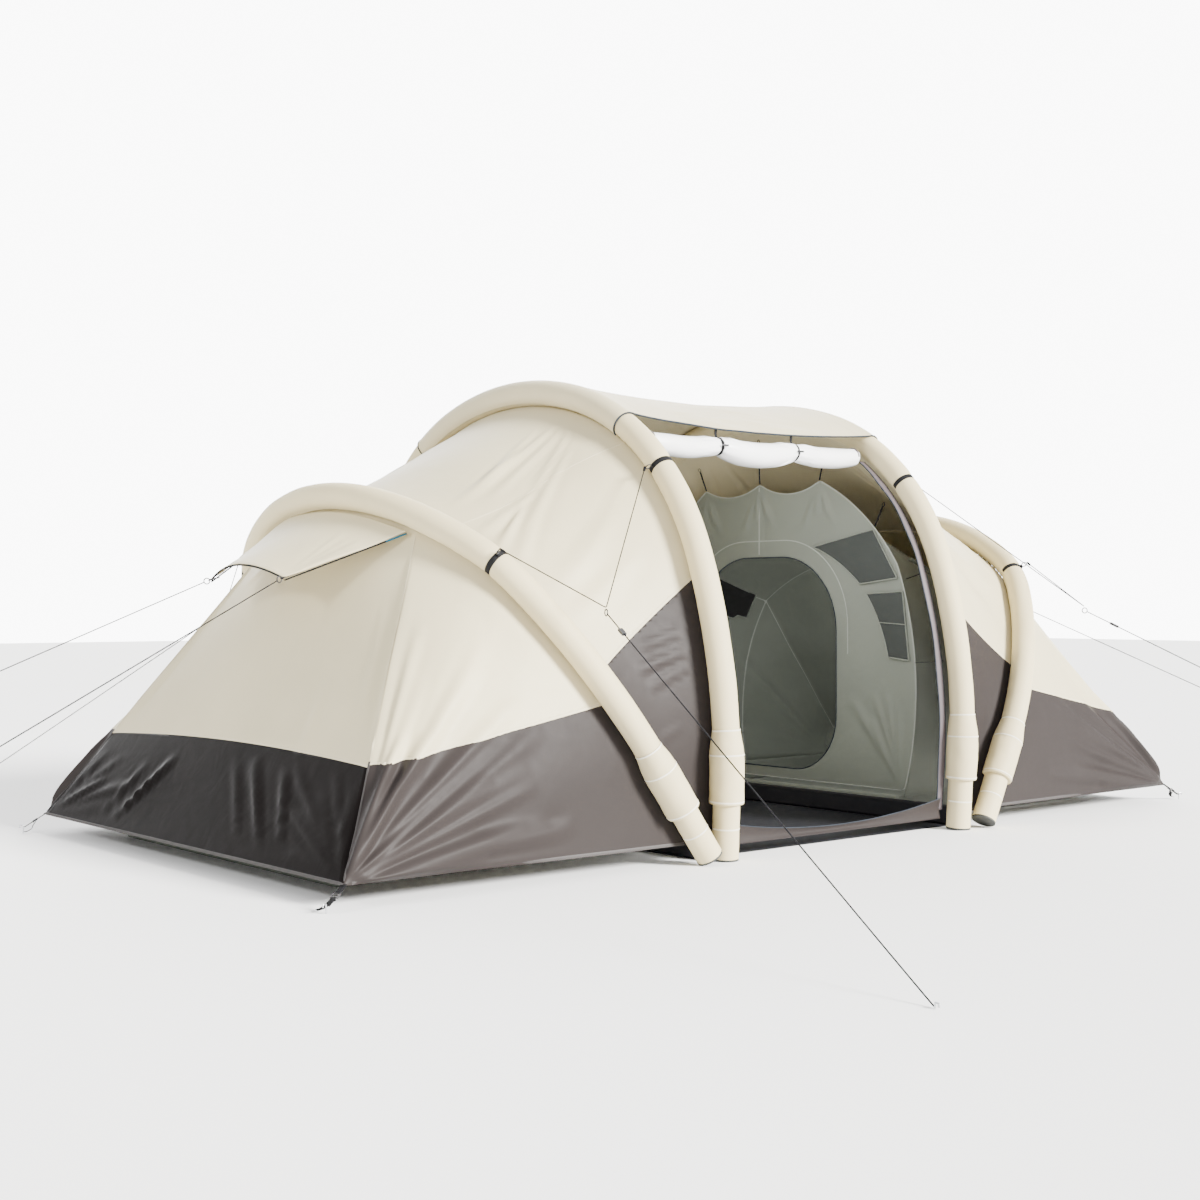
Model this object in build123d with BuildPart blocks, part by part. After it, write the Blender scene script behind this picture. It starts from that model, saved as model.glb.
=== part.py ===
from build123d import *
import os
from math import acos, cos, degrees, radians, sin, tan

# Inflatable two-bedroom tunnel tent. Millimetres, +Z up.
# The origin is on the ground in the middle of the tent. +X runs along the tent,
# and the open front door faces -Y. side is -1 for the left half and +1 for the right,
# face is -1 for the front and +1 for the back.

os.makedirs("parts", exist_ok=True)

# ---- driving dimensions
HEM_LENGTH = 5330.0
HEM_WIDTH = 2732.0
HEM_HEIGHT = 85.0
TUBE_RADIUS = 58.5
SLEEVE_WALL = 3.0
FABRIC = 3.0
SEAM = 1.0
CAP_DEPTH = 8.0
CORD_RADIUS = 2.5

# An air beam is an arch of tangent arcs in a plane that leans out from its feet.
# lean is the foot's lean towards the room, arcs are (radius, turn) from the foot up,
# and the crown arc closes the arch.
INNER = {"foot_x": 790.0, "tilt": 1.16, "foot_y": 1400.0, "lean": -3.12, "leg": 300.0,
         "arcs": ((2591.0, 22.82), (1183.0, 52.08))}
OUTER = {"foot_x": 905.0, "tilt": 33.07, "foot_y": 1452.0, "lean": 5.04, "leg": 512.0,
         "arcs": ((2037.0, 26.58), (657.0, 23.14))}

# distance of a fabric panel's outer skin from the beam's centre line
FLY_INSET = TUBE_RADIUS + 1.5
DOOR_INSET = TUBE_RADIUS - 3.5
ROOF_INSET = -TUBE_RADIUS - FABRIC - 1.5

CUFF_RADIUS = 75.0
CUFF_START = 235.0
CUFF_FULL = 445.0
CUFF_END = 550.0

CORNER_X = HEM_LENGTH / 2
CORNER_Y = HEM_WIDTH / 2
CREASE_Y = 630.0
ROOF_FRONT_TURN = 57.5
ROOF_BACK_TURN = 57.5

PARTITION_X = 897.5
GUY_RING = Vector(1600, 1570, 1065)
GUY_STAKE = Vector(2215, 3685, 0)
HOOD_CORNER = Vector(2320, 320, 1210)
LEFT_HOOD_STAKES = (Vector(-4950, -1050, 0), Vector(-4950, 1050, 0))
RIGHT_HOOD_STAKES = (Vector(4350, -2050, 0), Vector(4350, 1250, 0))
CORNER_STAKE = Vector(2755, 1400, 0)

SIDES = {"left": -1, "right": 1}
FACES = {"front": -1, "back": 1}


def save(piece, name):
    piece.label = name
    export_step(piece, f"parts/{name}.step")


def inward(turn):
    return Vector(-cos(radians(turn)), -sin(radians(turn)))


def arch_arcs(arch):
    """The arch's arcs as (centre, radius, first turn, last turn), in its own plane."""
    turn = arch["lean"]
    here = Vector(arch["foot_y"], 0) + Vector(-sin(radians(turn)), cos(radians(turn))) * arch["leg"]
    rise = []
    for radius, sweep_angle in arch["arcs"]:
        centre = here + inward(turn) * radius
        rise.append((centre, radius, turn, turn + sweep_angle))
        turn += sweep_angle
        here = centre - inward(turn) * radius
    crown = here.X / cos(radians(turn))
    centre = here + inward(turn) * crown
    fall = [(Vector(-c.X, c.Y), r, 180 - b, 180 - a) for c, r, a, b in reversed(rise)]
    return rise + [(centre, crown, turn, 180 - turn)] + fall


def crease_turn():
    """The turn at which the outer arch reaches the crease of the end panel."""
    crown = arch_arcs(OUTER)[2][1]
    return degrees(acos(CREASE_Y / crown))


def arch_runs(arch, inset, low=None, start=None, stop=None, mirrored=False, scale=1.0):
    """Lines and arcs, each a list of 2 or 3 points, of the arch moved in by inset.
    low gives the height where the leg starts, start and stop cut the arch at a turn."""
    runs = []
    lean = arch["lean"]
    first = lean if start is None else start
    last = 180 - lean if stop is None else stop
    arcs = arch_arcs(arch)
    leg_top = arcs[0][0] - inward(lean) * (arcs[0][1] - inset)
    if start is None:
        foot = Vector(leg_top.X + (leg_top.Y - low) * tan(radians(lean)), low)
        runs.append([foot, leg_top])
    for centre, radius, a, b in arcs:
        a, b = max(a, first), min(b, last)
        if b - a > 0.01:
            turns = (a, (a + b) / 2, b)
            runs.append([centre - inward(turn) * (radius - inset) for turn in turns])
    if stop is None:
        runs.append([Vector(-leg_top.X, leg_top.Y), Vector(-foot.X, foot.Y)])
    flip = -1 if mirrored else 1
    return [[(flip * p.X * scale, p.Y * scale) for p in run] for run in runs]


def draw_runs(runs):
    for run in runs:
        if len(run) == 2:
            Line(*run)
        else:
            ThreePointArc(*run)


def strip(plane, outer, inner):
    """A thin closed face between two open chains of lines and arcs."""
    with BuildSketch(plane) as section:
        with BuildLine():
            draw_runs(outer)
            draw_runs(inner)
            Line(outer[0][0], inner[0][0])
            Line(outer[-1][-1], inner[-1][-1])
        make_face()
    return section.sketch.faces()[0]


def arch_plane(arch, side, shift=0.0):
    """The arch's plane: local X is the tent's Y, local Y runs up the slope."""
    tilt = radians(arch["tilt"])
    normal = Vector(cos(tilt), 0, -side * sin(tilt))
    origin = Vector(side * arch["foot_x"], 0, 0) + normal * (side * shift)
    return Plane(origin=origin, x_dir=(0, 1, 0), z_dir=normal)


def arch_strip(arch, side, shift, inset, **cut):
    """A strip of fabric that follows an arch, shift outside the arch's plane."""
    outer = arch_runs(arch, inset, **cut)
    inner = arch_runs(arch, inset + FABRIC, **cut)
    return strip(arch_plane(arch, side, shift), outer, inner)


def arch_point(arch, side, face, turn, inset=0.0, shift=0.0):
    """A point on the arch at a turn, on its front (-1) or back (1) half."""
    for centre, radius, a, b in arch_arcs(arch):
        if a <= turn <= b:
            spot = centre - inward(turn) * (radius - inset)
            return arch_plane(arch, side, shift).from_local_coords((face * spot.X, spot.Y))


def foot_drop(arch):
    """Height along the arch's leg at which a square-cut foot just rests on the ground."""
    rise = cos(radians(arch["lean"])) * cos(radians(arch["tilt"]))
    return TUBE_RADIUS * (1 - rise**2) ** 0.5 / cos(radians(arch["tilt"]))


def beam_path(arch, side, low, mirrored=False, stop=None):
    with BuildLine(arch_plane(arch, side)) as path:
        draw_runs(arch_runs(arch, 0, low=low, mirrored=mirrored, stop=stop))
    return path.wires()[0]


def beam_section(path, arch, side, distance, face=1):
    """The plane across a beam. Its local Y points out of the room."""
    spot = path.position_at(distance, position_mode=PositionMode.LENGTH)
    heading = path.tangent_at(distance, position_mode=PositionMode.LENGTH)
    across = arch_plane(arch, side).z_dir * face
    return Plane(origin=spot, x_dir=across, z_dir=heading)


def bar(start, end, width, thick, across=(0, 1, 0)):
    """A straight strap from start to end. across gives its width's direction."""
    start, end = Vector(start), Vector(end)
    heading = (end - start).normalized()
    width_dir = Vector(across) - heading * heading.dot(Vector(across))
    plane = Plane(origin=start, x_dir=width_dir, z_dir=heading)
    with BuildPart() as strap:
        with BuildSketch(plane):
            Rectangle(width, thick)
        extrude(amount=(end - start).length)
    return strap.part


def cord(points, radii, radius):
    """A round cord along straight runs joined by tangent arcs."""
    with BuildPart() as rope:
        with BuildLine() as route:
            FilletPolyline(*points, radius=radii) if radii else Line(*points)
        with BuildSketch(Plane(origin=route.line @ 0, z_dir=route.line % 0)):
            Circle(radius)
        sweep()
    return rope.part


def corner_radii(points):
    """Arc radii that each take 0.45 of the shorter run beside the corner."""
    radii = []
    for before, here, after in zip(points, points[1:], points[2:]):
        turn = (here - before).get_angle(after - here)
        shorter = min((here - before).length, (after - here).length)
        radii.append(0.45 * shorter / tan(radians(turn / 2)))
    return radii


def stake_points():
    """Every stake on the ground, with the way its line arrives."""
    spots = []
    for side in SIDES.values():
        for face in FACES.values():
            spots.append((Vector(side * GUY_STAKE.X, face * GUY_STAKE.Y, 0),
                          Vector(side * GUY_RING.X, face * GUY_RING.Y, 0)))
            spots.append((Vector(side * CORNER_STAKE.X, face * CORNER_STAKE.Y, 0),
                          Vector(side * CORNER_X, face * CORNER_Y, 0)))
    for stake in LEFT_HOOD_STAKES + RIGHT_HOOD_STAKES:
        side = 1 if stake.X > 0 else -1
        face = -1 if stake in (LEFT_HOOD_STAKES[0], RIGHT_HOOD_STAKES[0]) else 1
        spots.append((stake, Vector(side * HOOD_CORNER.X, face * HOOD_CORNER.Y, 0)))
    return spots


# ---- air beams: a woven sleeve round a sealed tube
foot_low = {"inner": foot_drop(INNER) + CAP_DEPTH, "outer": foot_drop(OUTER) + CAP_DEPTH}
BEAMS = {"inner": INNER, "outer": OUTER}

bladders = []
caps = []
for side_name, side in SIDES.items():
    for kind, arch in BEAMS.items():
        path = beam_path(arch, side, foot_low[kind])
        with BuildPart() as beam:
            with BuildSketch(beam_section(path, arch, side, 0)):
                Circle(TUBE_RADIUS)
                Circle(TUBE_RADIUS - SLEEVE_WALL, mode=Mode.SUBTRACT)
            sweep(path=path)
        save(beam.part, f"{side_name}_{kind}_beam")

        with BuildPart() as bladder:
            with BuildSketch(beam_section(path, arch, side, 0)):
                Circle(TUBE_RADIUS - SLEEVE_WALL - 0.5)
                Circle(TUBE_RADIUS - SLEEVE_WALL - 1.7, mode=Mode.SUBTRACT)
            sweep(path=path)
        bladders.append(bladder.part)

        for distance in (0, path.length):
            section = beam_section(path, arch, side, distance)
            with BuildPart() as cap:
                with BuildSketch(section):
                    Circle(TUBE_RADIUS)
                extrude(amount=-CAP_DEPTH if distance == 0 else CAP_DEPTH)
            caps.append(cap.part)
save(Compound(children=bladders), "air_bladders")
save(Compound(children=caps), "foot_caps")

# ---- reinforcing cuffs low on each leg, open on the side where the fly is sewn on
cuffs = []
for side in SIDES.values():
    for kind, arch in BEAMS.items():
        for face in FACES.values():
            path = beam_path(arch, side, foot_low[kind], mirrored=face < 0)
            stations = (CUFF_START, (CUFF_START + CUFF_FULL) / 2, CUFF_FULL, CUFF_END)
            sizes = (CUFF_RADIUS, CUFF_RADIUS, CUFF_RADIUS, TUBE_RADIUS + 2.5)
            with BuildPart() as cuff:
                for station, size in zip(stations, sizes):
                    with BuildSketch(beam_section(path, arch, side, station, face)):
                        Circle(size)
                loft(ruled=True)
                with BuildSketch(beam_section(path, arch, side, 0, face)):
                    Circle(TUBE_RADIUS + 0.6)
                    with Locations((0, -TUBE_RADIUS - 25)):
                        Rectangle(200, 62)
                sweep(path=path, mode=Mode.SUBTRACT)
            cuffs.append(cuff.part)
save(Compound(children=cuffs), "foot_cuffs")

# ---- inflation valves above the rear cuffs, each with a hinged cap
VALVE_TURN = {"inner": 4.0, "outer": 9.0}
VALVE_RADIUS = 20.0
bases = []
for side_name, side in SIDES.items():
    for kind, arch in BEAMS.items():
        seat = arch_point(arch, side, 1, VALVE_TURN[kind], inset=-TUBE_RADIUS + 8)
        rim = arch_point(arch, side, 1, VALVE_TURN[kind], inset=-TUBE_RADIUS - 12)
        outward = rim - seat
        across = arch_plane(arch, side).z_dir
        path = beam_path(arch, side, foot_low[kind])
        with BuildPart() as base:
            with BuildSketch(Plane(origin=seat, x_dir=across, z_dir=outward)):
                Circle(VALVE_RADIUS)
            extrude(amount=outward.length)
            with BuildSketch(beam_section(path, arch, side, 0)):
                Circle(TUBE_RADIUS + 0.5)
            sweep(path=path, mode=Mode.SUBTRACT)
        bases.append(base.part)
        with BuildPart() as valve_cap:
            with BuildSketch(Plane(origin=rim, x_dir=across, z_dir=outward).offset(0.5)):
                Circle(VALVE_RADIUS - 1)
                with Locations((0, VALVE_RADIUS + 1)):
                    Rectangle(14, 8)
            extrude(amount=6)
        hinge_spot = Plane(origin=rim, x_dir=across, z_dir=outward).offset(0.5)
        hinge_spot = hinge_spot.from_local_coords((0, VALVE_RADIUS + 5, 0))
        print("valve cap hinge", side_name, kind, hinge_spot, "axis", across)
        save(valve_cap.part, f"{side_name}_{kind}_valve_cap")
save(Compound(children=bases), "valve_bases")

# ---- fly sheet
crease = crease_turn()
for side_name, side in SIDES.items():
    # bay panels between the two beams, grey below a seam that climbs to the inner beam
    seam_low = Vector(side * 1409, 0, 785)
    seam_high = Vector(side * 826, 0, 1216)
    across_seam = Vector(side * (seam_high.Z - seam_low.Z), 0, abs(seam_low.X - seam_high.X))
    bay_sections = [arch_strip(OUTER, side, -2, FLY_INSET, low=HEM_HEIGHT / cos(radians(OUTER["tilt"]))),
                    arch_strip(INNER, side, 2, FLY_INSET, low=HEM_HEIGHT)]
    with BuildPart() as bay:
        loft(bay_sections, ruled=True)
        split(bisect_by=Plane(origin=seam_low, z_dir=across_seam).offset(SEAM / 2), keep=Keep.TOP)
    save(bay.part, f"{side_name}_bay_fly")
    with BuildPart() as gussets:
        loft(bay_sections, ruled=True)
        split(bisect_by=Plane(origin=seam_low, z_dir=across_seam).offset(-SEAM / 2), keep=Keep.BOTTOM)
    save(gussets.part, f"{side_name}_gussets")

    # end: a cone from each hem corner to the beam, and a panel up to the crown
    band_crease = Vector(side * 2416, 0, 490)
    band_beam = Vector(side * 1349, 0, 694)
    across_band = Vector(side * (band_beam.Z - band_crease.Z), 0, abs(band_crease.X - band_beam.X))
    side_band = Plane(origin=band_crease, z_dir=across_band)
    end_band = Plane(origin=(side * CORNER_X, 0, 482), z_dir=(0, 0, 1))
    upper, lower = [], []
    shrink = 0.01
    for face in FACES.values():
        shift = 2
        outer_plane = arch_plane(OUTER, side, shift)
        corner = Vector(side * CORNER_X, face * CORNER_Y, HEM_HEIGHT)
        small_origin = corner + (outer_plane.origin - corner) * shrink
        small_plane = Plane(origin=small_origin, x_dir=outer_plane.x_dir, z_dir=outer_plane.z_dir)
        cut = {"low": HEM_HEIGHT / cos(radians(OUTER["tilt"])), "stop": crease - 0.05, "mirrored": face < 0}
        small = strip(small_plane, arch_runs(OUTER, FLY_INSET, scale=shrink, **cut),
                      arch_runs(OUTER, FLY_INSET + FABRIC / shrink, scale=shrink, **cut))
        cone = [arch_strip(OUTER, side, shift, FLY_INSET, **cut), small]
        with BuildPart() as side_top:
            loft(cone, ruled=True)
            split(bisect_by=side_band.offset(SEAM / 2), keep=Keep.TOP)
        with BuildPart() as side_low:
            loft(cone, ruled=True)
            split(bisect_by=side_band.offset(-SEAM / 2), keep=Keep.BOTTOM)
        upper.append(side_top.part)
        lower.append(side_low.part)
    save(Compound(children=lower), f"{side_name}_side_bands")

    crown_strip = arch_strip(OUTER, side, 2, FLY_INSET, start=crease + 0.05, stop=180 - crease - 0.05)
    hem_plane = Plane(origin=(side * CORNER_X, 0, HEM_HEIGHT), x_dir=(0, 1, 0), z_dir=(-side, 0, 2))
    with BuildSketch(hem_plane) as hem:
        with Locations((0, -FABRIC / 2 if side > 0 else FABRIC / 2)):
            Rectangle(HEM_WIDTH - 10, FABRIC)
    with BuildPart() as end_top:
        loft([crown_strip, hem.sketch.faces()[0]], ruled=True)
        split(bisect_by=end_band.offset(SEAM / 2), keep=Keep.TOP)
    with BuildPart() as end_low:
        loft([crown_strip, hem.sketch.faces()[0]], ruled=True)
        split(bisect_by=end_band.offset(-SEAM / 2), keep=Keep.BOTTOM)
    save(Compound(children=upper + [end_top.part]), f"{side_name}_end_fly")
    save(end_low.part, f"{side_name}_end_band")

# ---- living room roof, laid over the inner beams and hollow between them
ROOF_SAG = 40.0
roof_cut = {"start": ROOF_BACK_TURN, "stop": 180 - ROOF_FRONT_TURN}
middle = strip(Plane(origin=(0, 0, 0), x_dir=(0, 1, 0), z_dir=(1, 0, 0)),
               arch_runs(INNER, ROOF_INSET + ROOF_SAG, **roof_cut),
               arch_runs(INNER, ROOF_INSET + ROOF_SAG + FABRIC, **roof_cut))
with BuildPart() as living_roof:
    loft([arch_strip(INNER, -1, 38, ROOF_INSET, **roof_cut),
          arch_strip(INNER, -1, -30, ROOF_INSET, **roof_cut), middle,
          arch_strip(INNER, 1, -30, ROOF_INSET, **roof_cut),
          arch_strip(INNER, 1, 38, ROOF_INSET, **roof_cut)], ruled=True)
save(living_roof.part, "living_roof")

# ---- closed back door and the two sills
BAND_TOP = 480.0
DOOR_SHIFT = -TUBE_RADIUS - 3.5
back_cut = {"low": HEM_HEIGHT, "stop": ROOF_BACK_TURN - 1}
back_sections = [arch_strip(INNER, side, DOOR_SHIFT, DOOR_INSET, **back_cut) for side in (-1, 1)]
with BuildPart() as back_door:
    loft(back_sections, ruled=True)
    split(bisect_by=Plane.XY.offset(BAND_TOP + SEAM / 2), keep=Keep.TOP)
save(back_door.part, "back_door")

SILL_HALF = 700.0
with BuildPart() as back_sill:
    loft(back_sections, ruled=True)
    split(bisect_by=Plane.XY.offset(BAND_TOP - SEAM / 2), keep=Keep.BOTTOM)
with BuildPart() as front_sill:
    with BuildSketch(Plane(origin=(0, -CORNER_Y, 0), x_dir=(1, 0, 0), z_dir=(0, -1, 0))):
        with BuildLine():
            Polyline((SILL_HALF, 155), (SILL_HALF, 55), (-SILL_HALF, 55), (-SILL_HALF, 141))
            ThreePointArc((-SILL_HALF, 141), (0, 88), (SILL_HALF, 155))
        make_face()
    extrude(amount=-FABRIC)
save(Compound(children=[back_sill.part, front_sill.part]), "door_sills")

# ---- zip flaps beside the door, and the slider of the open zip
FLAP_WIDTH = 45.0
flap_cut = {"low": 95.0, "stop": ROOF_FRONT_TURN - 4, "mirrored": True}
flaps = []
for side in SIDES.values():
    with BuildPart() as flap:
        loft([arch_strip(INNER, side, DOOR_SHIFT, DOOR_INSET, **flap_cut),
              arch_strip(INNER, side, DOOR_SHIFT - FLAP_WIDTH, DOOR_INSET, **flap_cut)], ruled=True)
    flaps.append(flap.part)
save(Compound(children=flaps), "zip_flaps")

slider_foot = arch_plane(INNER, 1, DOOR_SHIFT - FLAP_WIDTH + 10)
leg = arch_runs(INNER, DOOR_INSET - 4.5, low=130, stop=0, mirrored=True)[0]
slider_low = slider_foot.from_local_coords(leg[0])
slider_high = slider_foot.from_local_coords(leg[1])
slider_way = (slider_high - slider_low).normalized()
slider_across = Vector(1, 0, 0) - slider_way * slider_way.X
with BuildPart() as door_zip_slider:
    with BuildSketch(Plane(origin=slider_low, x_dir=slider_across, z_dir=slider_way)):
        Rectangle(11, 6)
    extrude(amount=16)
    with BuildSketch(Plane(origin=slider_low - slider_way * 26, x_dir=slider_across, z_dir=slider_way)):
        Rectangle(7, 2)
    extrude(amount=26)
save(door_zip_slider.part, "door_zip_slider")
print("zip way", slider_way, "run", (slider_high - slider_low).length)

# ---- front door rolled up under the roof edge: three lobes between two ties
ROLL_RADIUS = 52.0
ROLL_DROP = 16.0
MIDDLE_RADIUS = 62.0
MIDDLE_DROP = 30.0
ROLL_Y = -800.0
ROLL_Z = 1850.0
ROLL_END = 708.0
TIE_X = 258.0
TIE_RADIUS = 42.0
TIE_GAP = 23.0
TOGGLE_Y = ROLL_Y - 56
left_lobe = (-ROLL_END, -TIE_X - TIE_GAP, ROLL_RADIUS, ROLL_DROP)
middle_lobe = (-TIE_X + TIE_GAP, TIE_X - TIE_GAP, MIDDLE_RADIUS, MIDDLE_DROP)
right_lobe = (TIE_X + TIE_GAP, ROLL_END, ROLL_RADIUS, ROLL_DROP)
lobes = []
for start, end, radius, drop in (left_lobe, middle_lobe, right_lobe):
    with BuildPart() as lobe:
        with BuildLine() as sag:
            ThreePointArc((start, ROLL_Y, ROLL_Z), ((start + end) / 2, ROLL_Y, ROLL_Z - drop),
                          (end, ROLL_Y, ROLL_Z))
        with BuildSketch(Plane(origin=sag.line @ 0, z_dir=sag.line % 0)):
            Circle(radius)
        sweep()
    lobes.append(lobe.part)
save(Compound(children=lobes), "front_door_roll")

ties = []
for side_name, side in SIDES.items():
    with BuildPart() as tie:
        with BuildSketch(Plane(origin=(side * TIE_X - 10, ROLL_Y, ROLL_Z), z_dir=(1, 0, 0))):
            Circle(TIE_RADIUS)
            Circle(TIE_RADIUS - 2.5, mode=Mode.SUBTRACT)
        extrude(amount=20)
    ties.append(tie.part)
    with BuildPart() as toggle:
        with BuildSketch(Plane(origin=(side * TIE_X - 20, TOGGLE_Y, ROLL_Z), z_dir=(1, 0, 0))):
            Circle(4.5)
        extrude(amount=40)
        fillet(toggle.edges().filter_by(GeomType.CIRCLE), 1.5)
    save(toggle.part, f"{side_name}_toggle")
save(Compound(children=ties), "roll_ties")

# ---- hoods over the end vents
HOOD_RISE = 70.0
bindings = []
for side_name, side in SIDES.items():
    hood_strip = arch_strip(OUTER, side, TUBE_RADIUS + 4, 42, start=crease, stop=180 - crease)
    hem_normal = Vector(0.87, 0, -0.49 * side)
    hem_plane = Plane(origin=(side * HOOD_CORNER.X, 0, HOOD_CORNER.Z), x_dir=(0, 1, 0), z_dir=hem_normal)
    y = HOOD_CORNER.Y
    hood_hem = strip(hem_plane, [[(-y, 0), (0, HOOD_RISE), (y, 0)]],
                     [[(-y, -FABRIC), (0, HOOD_RISE - FABRIC), (y, -FABRIC)]])
    with BuildPart() as hood:
        loft([hood_strip, hood_hem], ruled=True)
    save(hood.part, f"{side_name}_hood")
    drop = FABRIC + 4.0
    with BuildPart() as binding:
        with BuildLine(hem_plane) as edge:
            ThreePointArc((-y, -drop), (0, HOOD_RISE - drop), (y, -drop))
        with BuildSketch(Plane(origin=edge.line @ 0, z_dir=edge.line % 0)):
            Circle(3.5)
        sweep()
    bindings.append(binding.part)
    for face in FACES.values():
        high = arch_point(OUTER, side, face, crease + 0.01, inset=56, shift=TUBE_RADIUS + 6)
        low = Vector(side * (HOOD_CORNER.X - 4), face * (y + 6), HOOD_CORNER.Z - 16)
        bindings.append(cord([high, low], None, 2.5))
save(Compound(children=bindings), "hood_bindings")


# ---- inner tents: two bedrooms hung inside the fly
def room_outline(floor_half, floor_low, side_mid, shoulder, top, inset):
    """Side arc, roof arc, side arc and floor line of a bedroom section."""
    foot = (floor_half - inset, floor_low)
    bulge = (side_mid[0] - inset, side_mid[1])
    eave = (shoulder[0] - inset, shoulder[1] - inset)
    return [[foot, bulge, eave], [eave, (0, top - inset), (-eave[0], eave[1])],
            [(-eave[0], eave[1]), (-bulge[0], bulge[1]), (-foot[0], foot[1])],
            [(-foot[0], foot[1]), foot]]


ROOM_FLOOR = 130.0
ROOM_STATIONS = ((903.0, 970.0, (1035.0, 720.0), (860.0, 1400.0), 1700.0),
                 (1700.0, 985.0, (1000.0, 560.0), (800.0, 1120.0), 1380.0),
                 (2430.0, 955.0, (955.5, 200.0), (900.0, 290.0), 380.0))


def room_section(side, station, inset, floor_low, nudge=0.0):
    x, half, mid, shoulder, top = station
    plane = Plane(origin=(side * (x + nudge), 0, 0), x_dir=(0, 1, 0), z_dir=(1, 0, 0))
    with BuildSketch(plane) as section:
        with BuildLine():
            draw_runs(room_outline(half, floor_low, mid, shoulder, top, inset))
        make_face()
    return section.sketch.faces()[0]


DOOR_LOW = 200.0
DOOR_TOP = 1355.0
floors = []
pockets = []
for side_name, side in SIDES.items():
    with BuildPart() as bedroom:
        loft([room_section(side, station, 0, ROOM_FLOOR) for station in ROOM_STATIONS], ruled=True)
        nudges = (-4.0, 0.0, -4.0)
        loft([room_section(side, station, 4, ROOM_FLOOR - 12, nudge)
              for station, nudge in zip(ROOM_STATIONS, nudges)], ruled=True, mode=Mode.SUBTRACT)
    save(bedroom.part, f"{side_name}_bedroom")

    wall_plane = Plane(origin=(side * PARTITION_X - 1.5, 0, 0), x_dir=(0, 1, 0), z_dir=(1, 0, 0))
    with BuildPart() as partition:
        with BuildSketch(wall_plane):
            with BuildLine():
                Line((975, 144), (-975, 144))
                ThreePointArc((-975, 144), (-1048, 760), (-930, 1300))
                ThreePointArc((-930, 1300), (-770, 1500), (-390, 1760))
                ThreePointArc((-390, 1760), (-165, 1700), (60, 1762))
                ThreePointArc((60, 1762), (275, 1700), (490, 1745))
                ThreePointArc((490, 1745), (790, 1480), (930, 1300))
                ThreePointArc((930, 1300), (1048, 760), (975, 144))
            make_face()
            with BuildLine():
                Line((-210, DOOR_LOW), (250, DOOR_LOW))
                ThreePointArc((250, DOOR_LOW), (462, 288), (550, 500))
                Line((550, 500), (550, 955))
                ThreePointArc((550, 955), (433, 1238), (150, DOOR_TOP))
                Line((150, DOOR_TOP), (-110, DOOR_TOP))
                ThreePointArc((-110, DOOR_TOP), (-393, 1238), (-510, 955))
                Line((-510, 955), (-510, 500))
                ThreePointArc((-510, 500), (-422, 288), (-210, DOOR_LOW))
            make_face(mode=Mode.SUBTRACT)
        extrude(amount=3)
    save(partition.part, f"{side_name}_partition")

    with BuildPart() as bedroom_floor:
        low_x, high_x = PARTITION_X - 10, 2436.0
        with BuildSketch():
            with Locations((side * (low_x + high_x) / 2, 0)):
                Rectangle(high_x - low_x, 2 * 940)
        extrude(amount=120)
        with BuildSketch(Plane.XY.offset(3)):
            with Locations((side * (low_x + high_x) / 2, 0)):
                Rectangle(high_x - low_x - 6, 2 * 937)
        extrude(amount=120, mode=Mode.SUBTRACT)
    floors.append(bedroom_floor.part)

    pocket_plane = Plane(origin=(side * (PARTITION_X - 8) - 2, 0, 0), x_dir=(0, 1, 0), z_dir=(1, 0, 0))
    with BuildPart() as upper_pocket:
        with BuildSketch(pocket_plane):
            with BuildLine():
                Polyline((-344, 1405), (-772, 1487), (-935, 1231), (-680, 1203))
                ThreePointArc((-680, 1203), (-520, 1325), (-344, 1405))
            make_face()
        extrude(amount=4)
    with BuildPart() as lower_pocket:
        with BuildSketch(pocket_plane):
            with BuildLine():
                Polyline((-725, 1152), (-970, 1163), (-1012, 809), (-874, 824))
                ThreePointArc((-874, 824), (-815, 1000), (-725, 1152))
            make_face()
        extrude(amount=4)
    pockets += [upper_pocket.part, lower_pocket.part]
save(Compound(children=floors), "bedroom_floors")
save(Compound(children=pockets), "organiser_pockets")

# ---- living room groundsheet with an upstand at each end and along the back
FLOOR_X = 872.0
FLOOR_Y = 1290.0
with BuildPart() as living_floor:
    with BuildSketch():
        Rectangle(2 * FLOOR_X, 2 * FLOOR_Y)
    extrude(amount=FABRIC)
    with BuildSketch(Plane.XY.offset(FABRIC)):
        with Locations((-FLOOR_X + 1.5, 0), (FLOOR_X - 1.5, 0)):
            Rectangle(3, 2 * FLOOR_Y)
        with Locations((0, FLOOR_Y - 1.5)):
            Rectangle(2 * FLOOR_X, 3)
    extrude(amount=100)
save(living_floor.part, "living_floor")

# ---- elastic straps that hang each partition and bedroom from the fly
hangers = []
for side in SIDES.values():
    x = side * PARTITION_X
    for y, z, far_y, far_z in ((-390, 1764, -440, 1925), (60, 1766, 62, 2020), (490, 1749, 545, 1885),
                               (-780, 1502, -850, 1625), (800, 1482, 870, 1600),
                               (-985, 1225, -1125, 1262), (985, 1225, 1125, 1262),
                               (-1048, 800, -1235, 812), (1048, 800, 1235, 812)):
        hangers.append(bar((x, y, z), (x - side * 8, far_y, far_z), 10, 2, (1, 0, 0)))
save(Compound(children=hangers), "hang_straps")

# ---- guying: webbing round the beams, rings, bridles, lines, tensioners and pegs
STRAP_TURN = {"inner": 42.0, "outer": 44.0}
STRAP_HALF = 20.0
RING_MAJOR = 13.0
RING_MINOR = 2.5
RING_REACH = RING_MAJOR + RING_MINOR


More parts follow.
